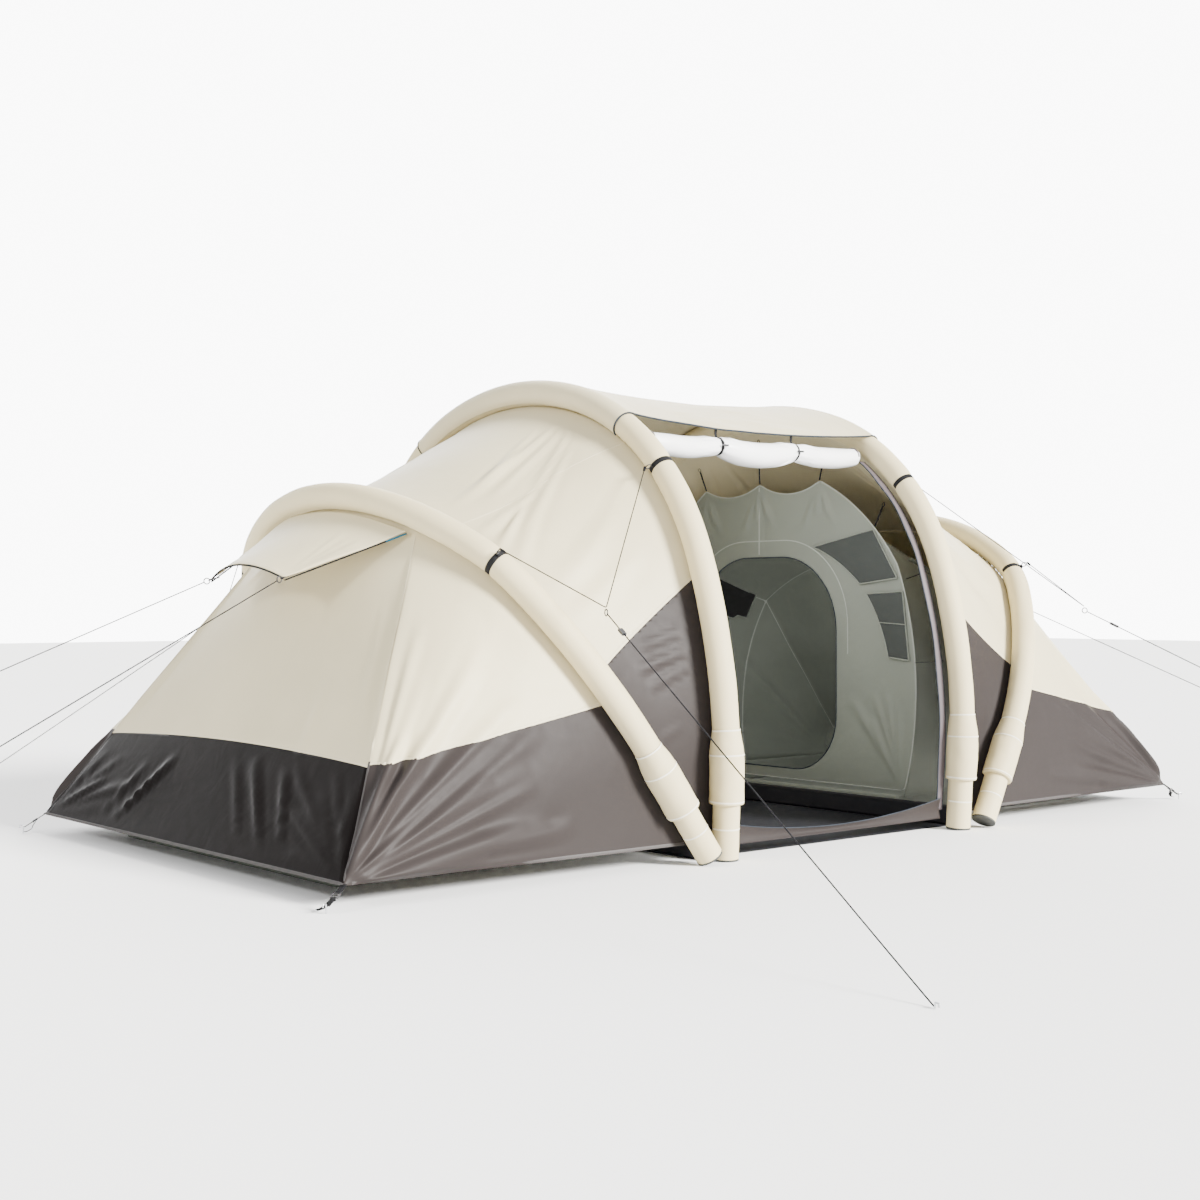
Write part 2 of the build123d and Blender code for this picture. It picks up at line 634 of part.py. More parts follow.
def ring_at(centre, in_plane, normal):
    """A round steel ring. in_plane is any direction in its plane."""
    with BuildPart() as ring:
        with BuildSketch(Plane(origin=centre + in_plane * RING_MAJOR, x_dir=in_plane,
                               z_dir=normal.cross(in_plane))):
            Circle(RING_MINOR)
        revolve(axis=Axis(centre, normal), revolution_arc=360)
    return ring.part


def guy_line(name, ring_centre, stake):
    """A taut line from the far side of a ring to the neck of its peg."""
    pull = (stake - ring_centre).normalized()
    back = Vector(ring_centre.X - stake.X, ring_centre.Y - stake.Y, 0).normalized()
    start = ring_centre + pull * (RING_REACH + 0.5)
    points = [start, stake + back * 40 + Vector(0, 0, 17), stake + back * 6.5 + Vector(0, 0, 4.5)]
    radii = corner_radii(points)
    line = cord(points, radii, CORD_RADIUS)
    print(name, "route m", [tuple(round(v / 1000, 4) for v in p) for p in points],
          "radius", [round(r, 1) for r in radii], "length", round((points[1] - start).length + 35.8, 1))
    save(line, name)
    return start, (points[1] - start).normalized()


strap_parts = []
bridles = []
rings = []
for side_name, side in SIDES.items():
    for face_name, face in FACES.items():
        guy_ring = Vector(side * GUY_RING.X, face * GUY_RING.Y, GUY_RING.Z)
        knots = []
        for kind, arch in BEAMS.items():
            spot = arch_point(arch, side, face, STRAP_TURN[kind])
            path = beam_path(arch, side, foot_low[kind], mirrored=face < 0)
            distance = path.param_at_point(spot) * path.length
            section = beam_section(path, arch, side, distance - STRAP_HALF, face)
            with BuildPart() as strap:
                with BuildSketch(section):
                    Circle(TUBE_RADIUS + 3.5)
                extrude(amount=2 * STRAP_HALF)
                with BuildSketch(beam_section(path, arch, side, 0, face)):
                    Circle(TUBE_RADIUS + 0.6)
                    with Locations((0, -TUBE_RADIUS - 25)):
                        Rectangle(200, 62)
                sweep(path=path, mode=Mode.SUBTRACT)
            strap_parts.append(strap.part)
            axis = path.tangent_at(distance, position_mode=PositionMode.LENGTH)
            pull = guy_ring - spot
            pull = (pull - axis * pull.dot(axis)).normalized()
            eye = spot + pull * (TUBE_RADIUS + 4.5 + RING_REACH)
            strap_parts.append(ring_at(eye, pull, axis))
            knots.append(eye + pull * (RING_REACH + 3.0))
        apex = guy_ring + Vector(0, 0, RING_REACH + 3.5)
        bridles.append(cord([knots[0], apex, knots[1]], [8.0], CORD_RADIUS))
        stake = Vector(side * GUY_STAKE.X, face * GUY_STAKE.Y, 0)
        pull = (stake - guy_ring).normalized()
        rings.append(ring_at(guy_ring, Vector(0, 0, 1), pull.cross(Vector(0, 0, 1)).normalized()))
        start, way = guy_line(f"{face_name}_{side_name}_guy_line", guy_ring, stake)

        # tensioner: a runner that slides along the line
        runner_plane = Plane(origin=start + way * 130, x_dir=way.cross(Vector(0, 0, 1)), z_dir=way)
        with BuildPart() as tensioner:
            with BuildSketch(runner_plane):
                Rectangle(18, 11)
                Circle(CORD_RADIUS + 0.8, mode=Mode.SUBTRACT)
            extrude(amount=44)
        print(f"{face_name}_{side_name}_tensioner axis", way)
        save(tensioner.part, f"{face_name}_{side_name}_tensioner")

        stakes = LEFT_HOOD_STAKES if side < 0 else RIGHT_HOOD_STAKES
        stake = stakes[0] if face < 0 else stakes[1]
        hood_corner = Vector(side * HOOD_CORNER.X, face * HOOD_CORNER.Y, HOOD_CORNER.Z)
        pull = (stake - hood_corner).normalized()
        hood_ring = hood_corner + pull * (RING_REACH + 7)
        rings.append(ring_at(hood_ring, pull, pull.cross(Vector(0, 0, 1)).normalized()))
        guy_line(f"{face_name}_{side_name}_hood_line", hood_ring, stake)
save(Compound(children=strap_parts), "beam_straps")
save(Compound(children=bridles), "guy_bridles")
save(Compound(children=rings), "guy_rings")

# ---- corner straps with ladder-lock buckles
corner_straps = []
buckles = []
STRAP_WIDTH = 25.0
for side in SIDES.values():
    for face in FACES.values():
        corner = Vector(side * CORNER_X, face * CORNER_Y, HEM_HEIGHT)
        neck = Vector(side * CORNER_STAKE.X, face * CORNER_STAKE.Y, 24)
        way = (neck - corner).normalized()
        across = way.cross(Vector(0, 0, 1)).normalized()
        corner_straps.append(bar(corner + way * 5, corner + way * 38, STRAP_WIDTH, 2, across))
        buckles.append(bar(corner + way * 39, corner + way * 65, 33, 6, across))
        corner_straps.append(bar(corner + way * 66, neck - way * 6, STRAP_WIDTH, 2, across))
        under = corner + way * 52 - Vector(0, 0, 11)
        tail = under + Vector(side * 34, -face * 26, -36)
        corner_straps.append(bar(under, tail, STRAP_WIDTH - 3, 2, across))
save(Compound(children=corner_straps), "corner_straps")
save(Compound(children=buckles), "corner_buckles")

# ---- hooked steel pegs, driven into the ground
PEG_RADIUS = 3.0
PEG_TIP = -150.0
pegs = []
for stake, source in stake_points():
    is_corner = abs(stake.X) == CORNER_STAKE.X
    top = 36.0 if is_corner else 16.0
    away = Vector(stake.X - source.X, stake.Y - source.Y, 0).normalized()
    crook = [Vector(0, 0, PEG_TIP), Vector(0, 0, top), away * 18 + Vector(0, 0, top),
             away * 18 + Vector(0, 0, top - 11)]
    pegs.append(cord([stake + p for p in crook], [5.0, 5.0], PEG_RADIUS))
save(Compound(children=pegs), "ground_pegs")
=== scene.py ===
import bpy
import bmesh
import random
import numpy as np
from math import acos, cos, degrees, pi, radians, sin, tan
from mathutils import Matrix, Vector, kdtree, noise


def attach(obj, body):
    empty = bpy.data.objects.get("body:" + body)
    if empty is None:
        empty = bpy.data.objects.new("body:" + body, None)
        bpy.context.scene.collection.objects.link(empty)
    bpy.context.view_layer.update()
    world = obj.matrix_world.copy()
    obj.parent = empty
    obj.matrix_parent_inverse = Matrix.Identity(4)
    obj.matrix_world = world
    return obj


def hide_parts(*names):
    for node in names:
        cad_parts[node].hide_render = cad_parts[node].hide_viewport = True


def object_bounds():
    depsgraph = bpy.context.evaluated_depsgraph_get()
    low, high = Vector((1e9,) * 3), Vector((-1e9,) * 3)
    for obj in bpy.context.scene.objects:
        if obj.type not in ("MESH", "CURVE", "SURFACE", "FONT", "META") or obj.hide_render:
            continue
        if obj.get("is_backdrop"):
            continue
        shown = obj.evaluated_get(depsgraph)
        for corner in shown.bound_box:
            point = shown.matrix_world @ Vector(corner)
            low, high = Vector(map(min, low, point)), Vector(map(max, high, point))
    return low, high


# Looks of an inflatable tunnel tent, in metres, in the frame of its CAD model.
# side is -1 for the left half and +1 for the right, face is -1 for the front and +1 for the back.

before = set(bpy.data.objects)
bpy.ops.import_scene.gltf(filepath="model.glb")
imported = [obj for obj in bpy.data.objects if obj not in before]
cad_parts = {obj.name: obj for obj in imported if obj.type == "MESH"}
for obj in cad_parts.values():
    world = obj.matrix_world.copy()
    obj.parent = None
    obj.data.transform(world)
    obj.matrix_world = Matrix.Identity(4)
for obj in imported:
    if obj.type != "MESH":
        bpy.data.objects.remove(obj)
cad_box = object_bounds()
scene = bpy.context.scene
SIDES = (("left", -1), ("right", 1))
FACES = (("front", -1), ("back", 1))
TUBE = 0.0585

# ---------------------------------------------------------------- camera
camera_data = bpy.data.cameras.new("camera")
camera_data.lens = 51.13
camera_data.clip_end = 200
camera = bpy.data.objects.new("camera", camera_data)
camera.location = (-5.8927, -6.6537, 1.1003)
camera.rotation_euler = (radians(90.119), 0, radians(-39.97))
scene.collection.objects.link(camera)
scene.camera = camera


# ---------------------------------------------------------------- materials
def new_material(name):
    material = bpy.data.materials.new(name)
    material.use_nodes = True
    tree = material.node_tree
    shader = tree.nodes["Principled BSDF"]
    return material, tree, shader


def node(tree, kind, inputs=(), **settings):
    made = tree.nodes.new(kind)
    for key, value in settings.items():
        setattr(made, key, value)
    for socket, value in dict(inputs).items():
        if isinstance(value, bpy.types.NodeSocket):
            tree.links.new(value, made.inputs[socket])
        else:
            made.inputs[socket].default_value = value
    return made


def maths(tree, operation, first, second=0.0):
    return node(tree, "ShaderNodeMath", {0: first, 1: second}, operation=operation).outputs[0]


def shade(tree, coords, colour, spread, scale):
    """The colour with slow patches a little darker and lighter than it."""
    patches = node(tree, "ShaderNodeTexNoise", {"Vector": coords, "Scale": scale, "Detail": 3.0})
    ramp = node(tree, "ShaderNodeValToRGB", {"Fac": patches.outputs["Fac"]})
    ramp.color_ramp.elements[0].position = 0.3
    ramp.color_ramp.elements[1].position = 0.72
    ramp.color_ramp.elements[0].color = (*[c * (1 - spread) for c in colour], 1)
    ramp.color_ramp.elements[1].color = (*[min(1, c * (1 + spread)) for c in colour], 1)
    return ramp.outputs["Color"]


def weave_height(tree, coords, period):
    """Warp and weft threads with that period, in metres."""
    scale = 0.314159 / period
    heights = []
    for way in ("X", "Y", "Z"):
        bands = node(tree, "ShaderNodeTexWave", {"Vector": coords, "Scale": scale, "Distortion": 0.6,
                                                 "Detail": 1.0, "Detail Scale": 2.0},
                     wave_type="BANDS", bands_direction=way)
        heights.append(bands.outputs["Fac"])
    both = maths(tree, "ADD", heights[0], heights[1])
    return maths(tree, "ADD", both, heights[2])


def cloth(name, colour, rough=0.6, spread=0.05, period=0.0012, weave=0.06, crinkle=0.25, sheen=0.15,
          through=0.0, gloss=0.4):
    """Woven cloth: slow colour patches, fine crinkles, threads, and light that comes through."""
    material, tree, shader = new_material(name)
    coords = node(tree, "ShaderNodeTexCoord").outputs["Object"]
    tint = shade(tree, coords, colour, spread, 1.7)
    tree.links.new(tint, shader.inputs["Base Color"])
    soft = node(tree, "ShaderNodeTexNoise", {"Vector": coords, "Scale": 7.0, "Detail": 5.0,
                                             "Roughness": 0.45, "Distortion": 0.7})
    dents = node(tree, "ShaderNodeBump", {"Strength": crinkle, "Distance": 0.012,
                                          "Height": soft.outputs["Fac"]})
    threads = node(tree, "ShaderNodeBump", {"Strength": weave, "Distance": 0.0004, "Normal": dents.outputs[0],
                                            "Height": weave_height(tree, coords, period)})
    tree.links.new(threads.outputs[0], shader.inputs["Normal"])
    wear = node(tree, "ShaderNodeTexNoise", {"Vector": coords, "Scale": 22.0, "Detail": 4.0})
    rub = node(tree, "ShaderNodeMapRange", {"Value": wear.outputs["Fac"], "To Min": rough - 0.07,
                                            "To Max": rough + 0.07})
    tree.links.new(rub.outputs[0], shader.inputs["Roughness"])
    shader.inputs["Sheen Weight"].default_value = sheen
    shader.inputs["Sheen Roughness"].default_value = 0.4
    shader.inputs["Specular IOR Level"].default_value = gloss
    if through:
        glow = node(tree, "ShaderNodeBsdfTranslucent", {"Color": tint, "Normal": dents.outputs[0]})
        mix = node(tree, "ShaderNodeMixShader", {0: through, 1: shader.outputs[0], 2: glow.outputs[0]})
        tree.links.new(mix.outputs[0], tree.nodes["Material Output"].inputs["Surface"])
    return material


def tape_cloth(name, colour, thread, rough=0.6):
    """Seam tape with two rows of stitches. It needs a UV map in metres along and 0 to 1 across."""
    material, tree, shader = new_material(name)
    coords = node(tree, "ShaderNodeTexCoord").outputs["Object"]
    uv = node(tree, "ShaderNodeUVMap").outputs[0]
    split = node(tree, "ShaderNodeSeparateXYZ", {0: uv})
    base = shade(tree, coords, colour, 0.06, 3.0)
    rows = maths(tree, "ABSOLUTE", maths(tree, "SUBTRACT", split.outputs[1], 0.5))
    near_row = maths(tree, "LESS_THAN", maths(tree, "ABSOLUTE", maths(tree, "SUBTRACT", rows, 0.3)), 0.035)
    step = maths(tree, "FRACT", maths(tree, "MULTIPLY", split.outputs[0], 180.0))
    dash = maths(tree, "LESS_THAN", step, 0.7)
    mask = maths(tree, "MULTIPLY", near_row, dash)
    mix = node(tree, "ShaderNodeMix", {"Factor": mask, "A": base, "B": (*thread, 1)}, data_type="RGBA")
    colours = [s for s in mix.inputs if s.type == "RGBA"]
    tree.links.new(base, colours[0])
    colours[1].default_value = (*thread, 1)
    result = [s for s in mix.outputs if s.type == "RGBA"][0]
    tree.links.new(result, shader.inputs["Base Color"])
    shader.inputs["Roughness"].default_value = rough
    bump = node(tree, "ShaderNodeBump", {"Strength": 0.4, "Distance": 0.0006, "Height": mask})
    tree.links.new(bump.outputs[0], shader.inputs["Normal"])
    return material


def webbing(name, colour, period=0.0022, rough=0.75):
    """Narrow woven webbing with ribs across it, or a braided cord."""
    material, tree, shader = new_material(name)
    coords = node(tree, "ShaderNodeTexCoord").outputs["Object"]
    tree.links.new(shade(tree, coords, colour, 0.2, 40.0), shader.inputs["Base Color"])
    ribs = node(tree, "ShaderNodeTexWave", {"Vector": coords, "Scale": 0.314159 / period, "Distortion": 1.2},
                bands_direction="DIAGONAL")
    bump = node(tree, "ShaderNodeBump", {"Strength": 0.5, "Distance": 0.0006, "Height": ribs.outputs["Fac"]})
    tree.links.new(bump.outputs[0], shader.inputs["Normal"])
    shader.inputs["Roughness"].default_value = rough
    shader.inputs["Specular IOR Level"].default_value = 0.1
    return material


def hard(name, colour, rough, metal=0.0, grain=60.0, strength=0.1):
    """Moulded plastic, rubber or metal with a fine grain."""
    material, tree, shader = new_material(name)
    coords = node(tree, "ShaderNodeTexCoord").outputs["Object"]
    tree.links.new(shade(tree, coords, colour, 0.12, grain / 3), shader.inputs["Base Color"])
    speck = node(tree, "ShaderNodeTexNoise", {"Vector": coords, "Scale": grain * 8, "Detail": 3.0})
    bump = node(tree, "ShaderNodeBump", {"Strength": strength, "Distance": 0.0005,
                                         "Height": speck.outputs["Fac"]})
    tree.links.new(bump.outputs[0], shader.inputs["Normal"])
    rub = node(tree, "ShaderNodeMapRange", {"Value": speck.outputs["Fac"], "To Min": rough - 0.06,
                                            "To Max": rough + 0.08})
    tree.links.new(rub.outputs[0], shader.inputs["Roughness"])
    shader.inputs["Metallic"].default_value = metal
    return material


CREAM = (0.60, 0.53, 0.345)
SLEEVE = (0.62, 0.535, 0.325)
GREY = (0.027, 0.0225, 0.0215)
CHARCOAL = (0.0050, 0.0036, 0.0034)
INNER_GREY = (0.255, 0.275, 0.235)
cream = cloth("cream_fly", CREAM, rough=0.48, crinkle=0.18, through=0.05, gloss=0.3, sheen=0.05)
sleeve = cloth("cream_sleeve", SLEEVE, rough=0.58, crinkle=0.12, spread=0.03, sheen=0.05, gloss=0.25)
grey = cloth("grey_fly", GREY, rough=0.46, crinkle=0.15, spread=0.06, sheen=0.0, gloss=0.08)
charcoal = cloth("charcoal_fly", CHARCOAL, rough=0.34, crinkle=0.15, spread=0.12, sheen=0.0, gloss=0.05)
mauve = cloth("mauve_flap", (0.085, 0.070, 0.076), rough=0.55, spread=0.08, sheen=0.0, gloss=0.2)
silver = cloth("silver_door", (0.97, 0.975, 0.98), rough=0.24, spread=0.03, sheen=0.0, gloss=0.8)
inner = cloth("inner_cloth", INNER_GREY, rough=0.7, through=0.18, sheen=0.25, weave=0.1)
ground = cloth("groundsheet", (0.020, 0.020, 0.024), rough=0.42, spread=0.15, sheen=0.0, gloss=0.2)
mesh = cloth("mesh_pocket", (0.060, 0.066, 0.062), rough=0.8, sheen=0.0, gloss=0.1, period=0.0025, weave=0.5)
window_net = cloth("window_net", (0.012, 0.012, 0.012), rough=0.85, period=0.003, weave=0.6)
light_edge = tape_cloth("light_edge", (0.42, 0.44, 0.40), (0.34, 0.35, 0.32))
cream_tape = tape_cloth("cream_tape", (0.60, 0.53, 0.36), (0.42, 0.37, 0.26))
grey_tape = tape_cloth("grey_tape", (0.026, 0.022, 0.021), (0.07, 0.06, 0.058))
film = cloth("bladder_film", (0.62, 0.66, 0.68), rough=0.25, sheen=0.0, weave=0.02)
binding_cloth = webbing("dark_binding", (0.030, 0.036, 0.045))
black_web = webbing("black_webbing", (0.012, 0.012, 0.013))
black_braid = webbing("black_cord", (0.014, 0.014, 0.016), period=0.0016)
blue_web = webbing("blue_webbing", (0.01, 0.10, 0.16))
rubber = hard("black_rubber", (0.03, 0.032, 0.03), 0.7)
plastic = hard("black_plastic", (0.02, 0.02, 0.022), 0.42)
steel = hard("steel", (0.66, 0.67, 0.69), 0.3, metal=1.0, grain=90.0, strength=0.05)


# ---------------------------------------------------------------- mesh helpers
def grid_faces(rows, columns, round_columns=False):
    faces = []
    last = columns if round_columns else columns - 1
    for i in range(rows - 1):
        for j in range(last):
            k = (j + 1) % columns
            faces.append((i * columns + j, i * columns + k, (i + 1) * columns + k, (i + 1) * columns + j))
    return faces


def as_part(grid, round_columns=False):
    """A grid of points as (points, faces)."""
    return grid.reshape(-1, 3), grid_faces(*grid.shape[:2], round_columns)


def between(first, last, t):
    """Rows of points straight across from one line to another."""
    return first[:, None] * (1 - t) + last[:, None] * t


def make(name, parts, materials, body="tent", thick=None, uvs=None):
    """One object from several (points, faces) parts, riding on a body."""
    points, faces, kinds = [], [], []
    for index, (some_points, some_faces) in enumerate(parts):
        start = len(points)
        points += [tuple(p) for p in np.asarray(some_points).reshape(-1, 3)]
        faces += [tuple(start + i for i in f) for f in some_faces]
        kinds += [index if isinstance(materials, (list, tuple)) else 0] * len(some_faces)
    data = bpy.data.meshes.new(name)
    data.from_pydata(points, [], faces)
    for material in materials if isinstance(materials, (list, tuple)) else [materials]:
        data.materials.append(material)
    data.polygons.foreach_set("material_index", kinds)
    data.polygons.foreach_set("use_smooth", [True] * len(faces))
    if uvs is not None:
        layer = data.uv_layers.new(name="along")
        flat = [tuple(u) for part in uvs for u in np.asarray(part).reshape(-1, 2)]
        for loop in data.loops:
            layer.data[loop.index].uv = flat[loop.vertex_index]
    work = bmesh.new()
    work.from_mesh(data)
    if uvs is None:
        bmesh.ops.remove_doubles(work, verts=work.verts, dist=0.00005)
    bmesh.ops.recalc_face_normals(work, faces=work.faces)
    work.to_mesh(data)
    work.free()
    made = bpy.data.objects.new(name, data)
    scene.collection.objects.link(made)
    if thick:
        modifier = made.modifiers.new("cloth thickness", "SOLIDIFY")
        modifier.thickness = thick
        modifier.offset = 0
    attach(made, body)
    return made


def unit(v):
    v = np.asarray(v, float)
    return v / np.maximum(np.linalg.norm(v, axis=-1, keepdims=True), 1e-12)


def grid_normals(points, middle=(0, 0, 0.6)):
    """Normals of a grid of points, turned away from the tent's middle."""
    across = np.gradient(points, axis=1)
    along = np.gradient(points, axis=0)
    weak = np.linalg.norm(along, axis=-1) < 1e-6
    along[weak] = np.roll(along, 1, axis=1)[weak]
    normals = unit(np.cross(along, across))
    outward = (normals * (points - np.array(middle))).sum(-1).mean()
    return normals if outward > 0 else -normals


def folds(points, specs):
    """Height of narrow ridges from start to end, narrower near the start."""
    flat = points.reshape(-1, 3)
    height = np.zeros(len(flat))
    for start, end, width, rise in specs:
        start, end = np.array(start, float), np.array(end, float)
        way = end - start
        t = np.clip(((flat - start) @ way) / (way @ way), 0, 1)
        off = np.linalg.norm(flat - (start + t[:, None] * way), axis=1) / (width * (0.35 + 0.65 * t))
        height += 1.6 * rise * np.sin(pi * t) ** 0.7 * (1 - off**2) * np.exp(-0.9 * off**2)
    return height.reshape(points.shape[:-1])


def fan(apex, ends, count, width, rise, seed, near=0.07, far=(0.55, 1.0)):
    """Ridges that spread from an apex towards a chain of end points."""
    draw = random.Random(seed)
    apex, ends = np.array(apex, float), [np.array(e, float) for e in ends]
    specs = []
    for k in range(count):
        step = (k + draw.uniform(-0.3, 0.3)) / max(count - 1, 1) * (len(ends) - 1)
        step = min(max(step, 0), len(ends) - 1.001)
        i = int(step)
        target = ends[i] + (ends[i + 1] - ends[i]) * (step - i)
        start = apex + (target - apex) * near * draw.uniform(0.5, 1.6)
        end = apex + (target - apex) * draw.uniform(*far)
        specs.append((start, end, width * draw.uniform(0.7, 1.3), rise * draw.uniform(0.5, 1.2)))
    return specs


def ripple(points, scale, depth, seed):
    """Slow uneven swelling of a cloth."""
    flat = points.reshape(-1, 3)
    shift = Vector((seed * 3.7, seed * 1.3, seed * 7.1))
    values = [noise.noise(Vector(p) * scale + shift) for p in flat]
    return depth * np.array(values).reshape(points.shape[:-1])


def mirrored(specs, x=1, y=1):
    flip = np.array([x, y, 1])
    return [(np.array(a) * flip, np.array(b) * flip, w, h) for a, b, w, h in specs]


def cut(parts, through, normal):
    """The (points, faces) part cut in two by a plane: above, below, and the cut line's points."""
    points, faces = parts
    halves = []
    line = []
    for keep_above in (True, False):
        work = bmesh.new()
        made = [work.verts.new(p) for p in np.asarray(points).reshape(-1, 3)]
        for f in faces:
            if len({tuple(made[i].co) for i in f}) > 2:
                work.faces.new([made[i] for i in f])
        bmesh.ops.remove_doubles(work, verts=work.verts, dist=0.00005)
        everything = work.verts[:] + work.edges[:] + work.faces[:]
        found = bmesh.ops.bisect_plane(work, geom=everything, dist=0.0001, plane_co=through, plane_no=normal,
                                       clear_inner=keep_above, clear_outer=not keep_above)
        if keep_above:
            line = [np.array(g.co) for g in found["geom_cut"] if isinstance(g, bmesh.types.BMVert)]
        loose = [v for v in work.verts if not v.link_faces]
        bmesh.ops.delete(work, geom=loose, context="VERTS")
        work.verts.index_update()
        corners = [tuple(v.co) for v in work.verts]
        halves.append((corners, [tuple(v.index for v in f.verts) for f in work.faces]))
        work.free()
    return halves[0], halves[1], line


def turning_frames(points, closed=False):
    """Tangent, side and up at each point of a line, without twist."""
    points = np.asarray(points, float)
    if closed:
        tangents = unit(np.roll(points, -1, 0) - np.roll(points, 1, 0))
    else:
        tangents = unit(np.gradient(points, axis=0))
    seed = np.array([0, 0, 1.0]) if abs(tangents[0][2]) < 0.9 else np.array([1.0, 0, 0])
    sides = []
    side = unit(np.cross(tangents[0], seed))
    for t in tangents:
        side = unit(side - t * (side @ t))
        sides.append(side)
    sides = np.array(sides)
    return tangents, sides, np.cross(tangents, sides)


def tube(points, radius, around=10, closed=False):
    """A round tube along points, as (points, faces)."""
    points = np.asarray(points, float)
    tangents, sides, ups = turning_frames(points, closed)
    radius = np.broadcast_to(np.asarray(radius, float), (len(points),))
    angles = np.linspace(0, 2 * pi, around, endpoint=False)
    rings = points[:, None] + radius[:, None, None] * (np.cos(angles)[None, :, None] * sides[:, None]
                                                       + np.sin(angles)[None, :, None] * ups[:, None])
    faces = grid_faces(len(points), around, True)
    if closed:
        last = (len(points) - 1) * around
        faces += [(last + j, last + (j + 1) % around, (j + 1) % around, j) for j in range(around)]
    else:
        faces += [tuple(range(around))[::-1], tuple((len(points) - 1) * around + j for j in range(around))]
    return rings.reshape(-1, 3), faces


def strap(points, width, thick, across):
    """A flat strap along points. across is its width's direction, one for all or one each."""
    points = np.asarray(points, float)
    tangents = unit(np.gradient(points, axis=0))
    across = np.broadcast_to(np.asarray(across, float), points.shape)
    across = unit(across - tangents * (across * tangents).sum(-1, keepdims=True))
    up = np.cross(tangents, across)
    shape = ((-0.5, 0), (-0.46, 0.5), (0, 0.56), (0.46, 0.5),
             (0.5, 0), (0.46, -0.5), (0, -0.56), (-0.46, -0.5))
    rings = np.stack([points + across * (a * width) + up * (b * thick) for a, b in shape], 1)
    faces = grid_faces(len(points), len(shape), True)
    faces += [tuple(range(8))[::-1], tuple((len(points) - 1) * 8 + j for j in range(8))]
    return rings.reshape(-1, 3), faces


def smooth_line(points, count, closed=False):
    """A smooth line through points, evenly spaced."""
    points = [np.array(p, float) for p in points]
    chain = [points[-1]] + points + points[:2] if closed else [2 * points[0] - points[1]] + points
    if not closed:
        chain.append(2 * points[-1] - points[-2])
    dense = []
    for a, b, c, d in zip(chain, chain[1:], chain[2:], chain[3:]):
        for t in np.linspace(0, 1, 24, endpoint=False):
            dense.append(0.5 * (2 * b + (c - a) * t + (2 * a - 5 * b + 4 * c - d) * t**2
                                + (3 * b - a - 3 * c + d) * t**3))
    if not closed:
        dense.append(points[-1])
    return spaced(dense, count, closed)


def spaced(points, count, closed=False):
    points = np.asarray(points, float)
    if closed:
        points = np.concatenate([points, points[:1]])
    along = np.concatenate([[0], np.cumsum(np.linalg.norm(np.diff(points, axis=0), axis=1))])
    wanted = np.linspace(0, along[-1], count, endpoint=not closed)
    return np.stack([np.interp(wanted, along, points[:, k]) for k in range(3)], 1)


class Skin:
    """The nearest point's normal on a grid of cloth, for tapes that lie on it."""

    def __init__(self, points, normals):
        self.normals = normals.reshape(-1, 3)
        flat = points.reshape(-1, 3)
        self.tree = kdtree.KDTree(len(flat))
        for index, p in enumerate(flat):
            self.tree.insert(p, index)
        self.tree.balance()

    def at(self, points):
        return np.array([self.normals[self.tree.find(p)[1]] for p in points])


def tape(points, normals, width, lift=0.0012):
    """A seam tape as (points, faces, uv): slightly domed, u in metres along it."""
    points = np.asarray(points, float)
    tangents = unit(np.gradient(points, axis=0))
    sides = unit(np.cross(tangents, normals))
    along = np.concatenate([[0], np.cumsum(np.linalg.norm(np.diff(points, axis=0), axis=1))])
    shape = ((-0.5, 0.4), (-0.3, 0.9), (0, 1.0), (0.3, 0.9), (0.5, 0.4))
    rows = np.stack([points + sides * (a * width) + normals * (b * lift) for a, b in shape], 1)
    uv = np.stack([np.stack([along, np.full(len(along), a + 0.5)], 1) for a, _ in shape], 1)
    return rows.reshape(-1, 3), grid_faces(len(points), len(shape)), uv.reshape(-1, 2)


def seam_on(skin, line, count, width, lift=0.0012):
    """A seam tape along a line, lying on a skin."""
    line = spaced(line, count)
    return tape(line, skin.at(line), width, lift)


def make_tapes(name, tapes, material):
    parts = [(t[0], t[1]) for t in tapes]
    return make(name, parts, material, uvs=[t[2] for t in tapes])


def arc_three(a, b, c, count):
    """Points on the arc from a through b to c, in two dimensions."""
    (ax, ay), (bx, by), (cx, cy) = a, b, c
    d = 2 * (ax * (by - cy) + bx * (cy - ay) + cx * (ay - by))
    ux = ((ax**2 + ay**2) * (by - cy) + (bx**2 + by**2) * (cy - ay) + (cx**2 + cy**2) * (ay - by)) / d
    uy = ((ax**2 + ay**2) * (cx - bx) + (bx**2 + by**2) * (ax - cx) + (cx**2 + cy**2) * (bx - ax)) / d
    angles = [np.arctan2(y - uy, x - ux) for x, y in (a, b, c)]
    first, middle, last = angles
    turn = (last - first) % (2 * pi)
    if not 0 < (middle - first) % (2 * pi) < turn:
        turn -= 2 * pi
    radius = np.hypot(ax - ux, ay - uy)
    t = np.linspace(0, 1, count)
    return [(ux + radius * cos(first + turn * s), uy + radius * sin(first + turn * s)) for s in t]


# ---------------------------------------------------------------- the arches
INNER = {"foot_x": 0.790, "tilt": 1.16, "foot_y": 1.400, "lean": -3.12, "leg": 0.300,
         "arcs": ((2.591, 22.82), (1.183, 52.08))}
OUTER = {"foot_x": 0.905, "tilt": 33.07, "foot_y": 1.452, "lean": 5.04, "leg": 0.512,
         "arcs": ((2.037, 26.58), (0.657, 23.14))}
BEAMS = (("inner", INNER), ("outer", OUTER))
FLY_INSET = 0.060
HEM = 0.085
CORNER = np.array([2.665, 1.366, HEM])


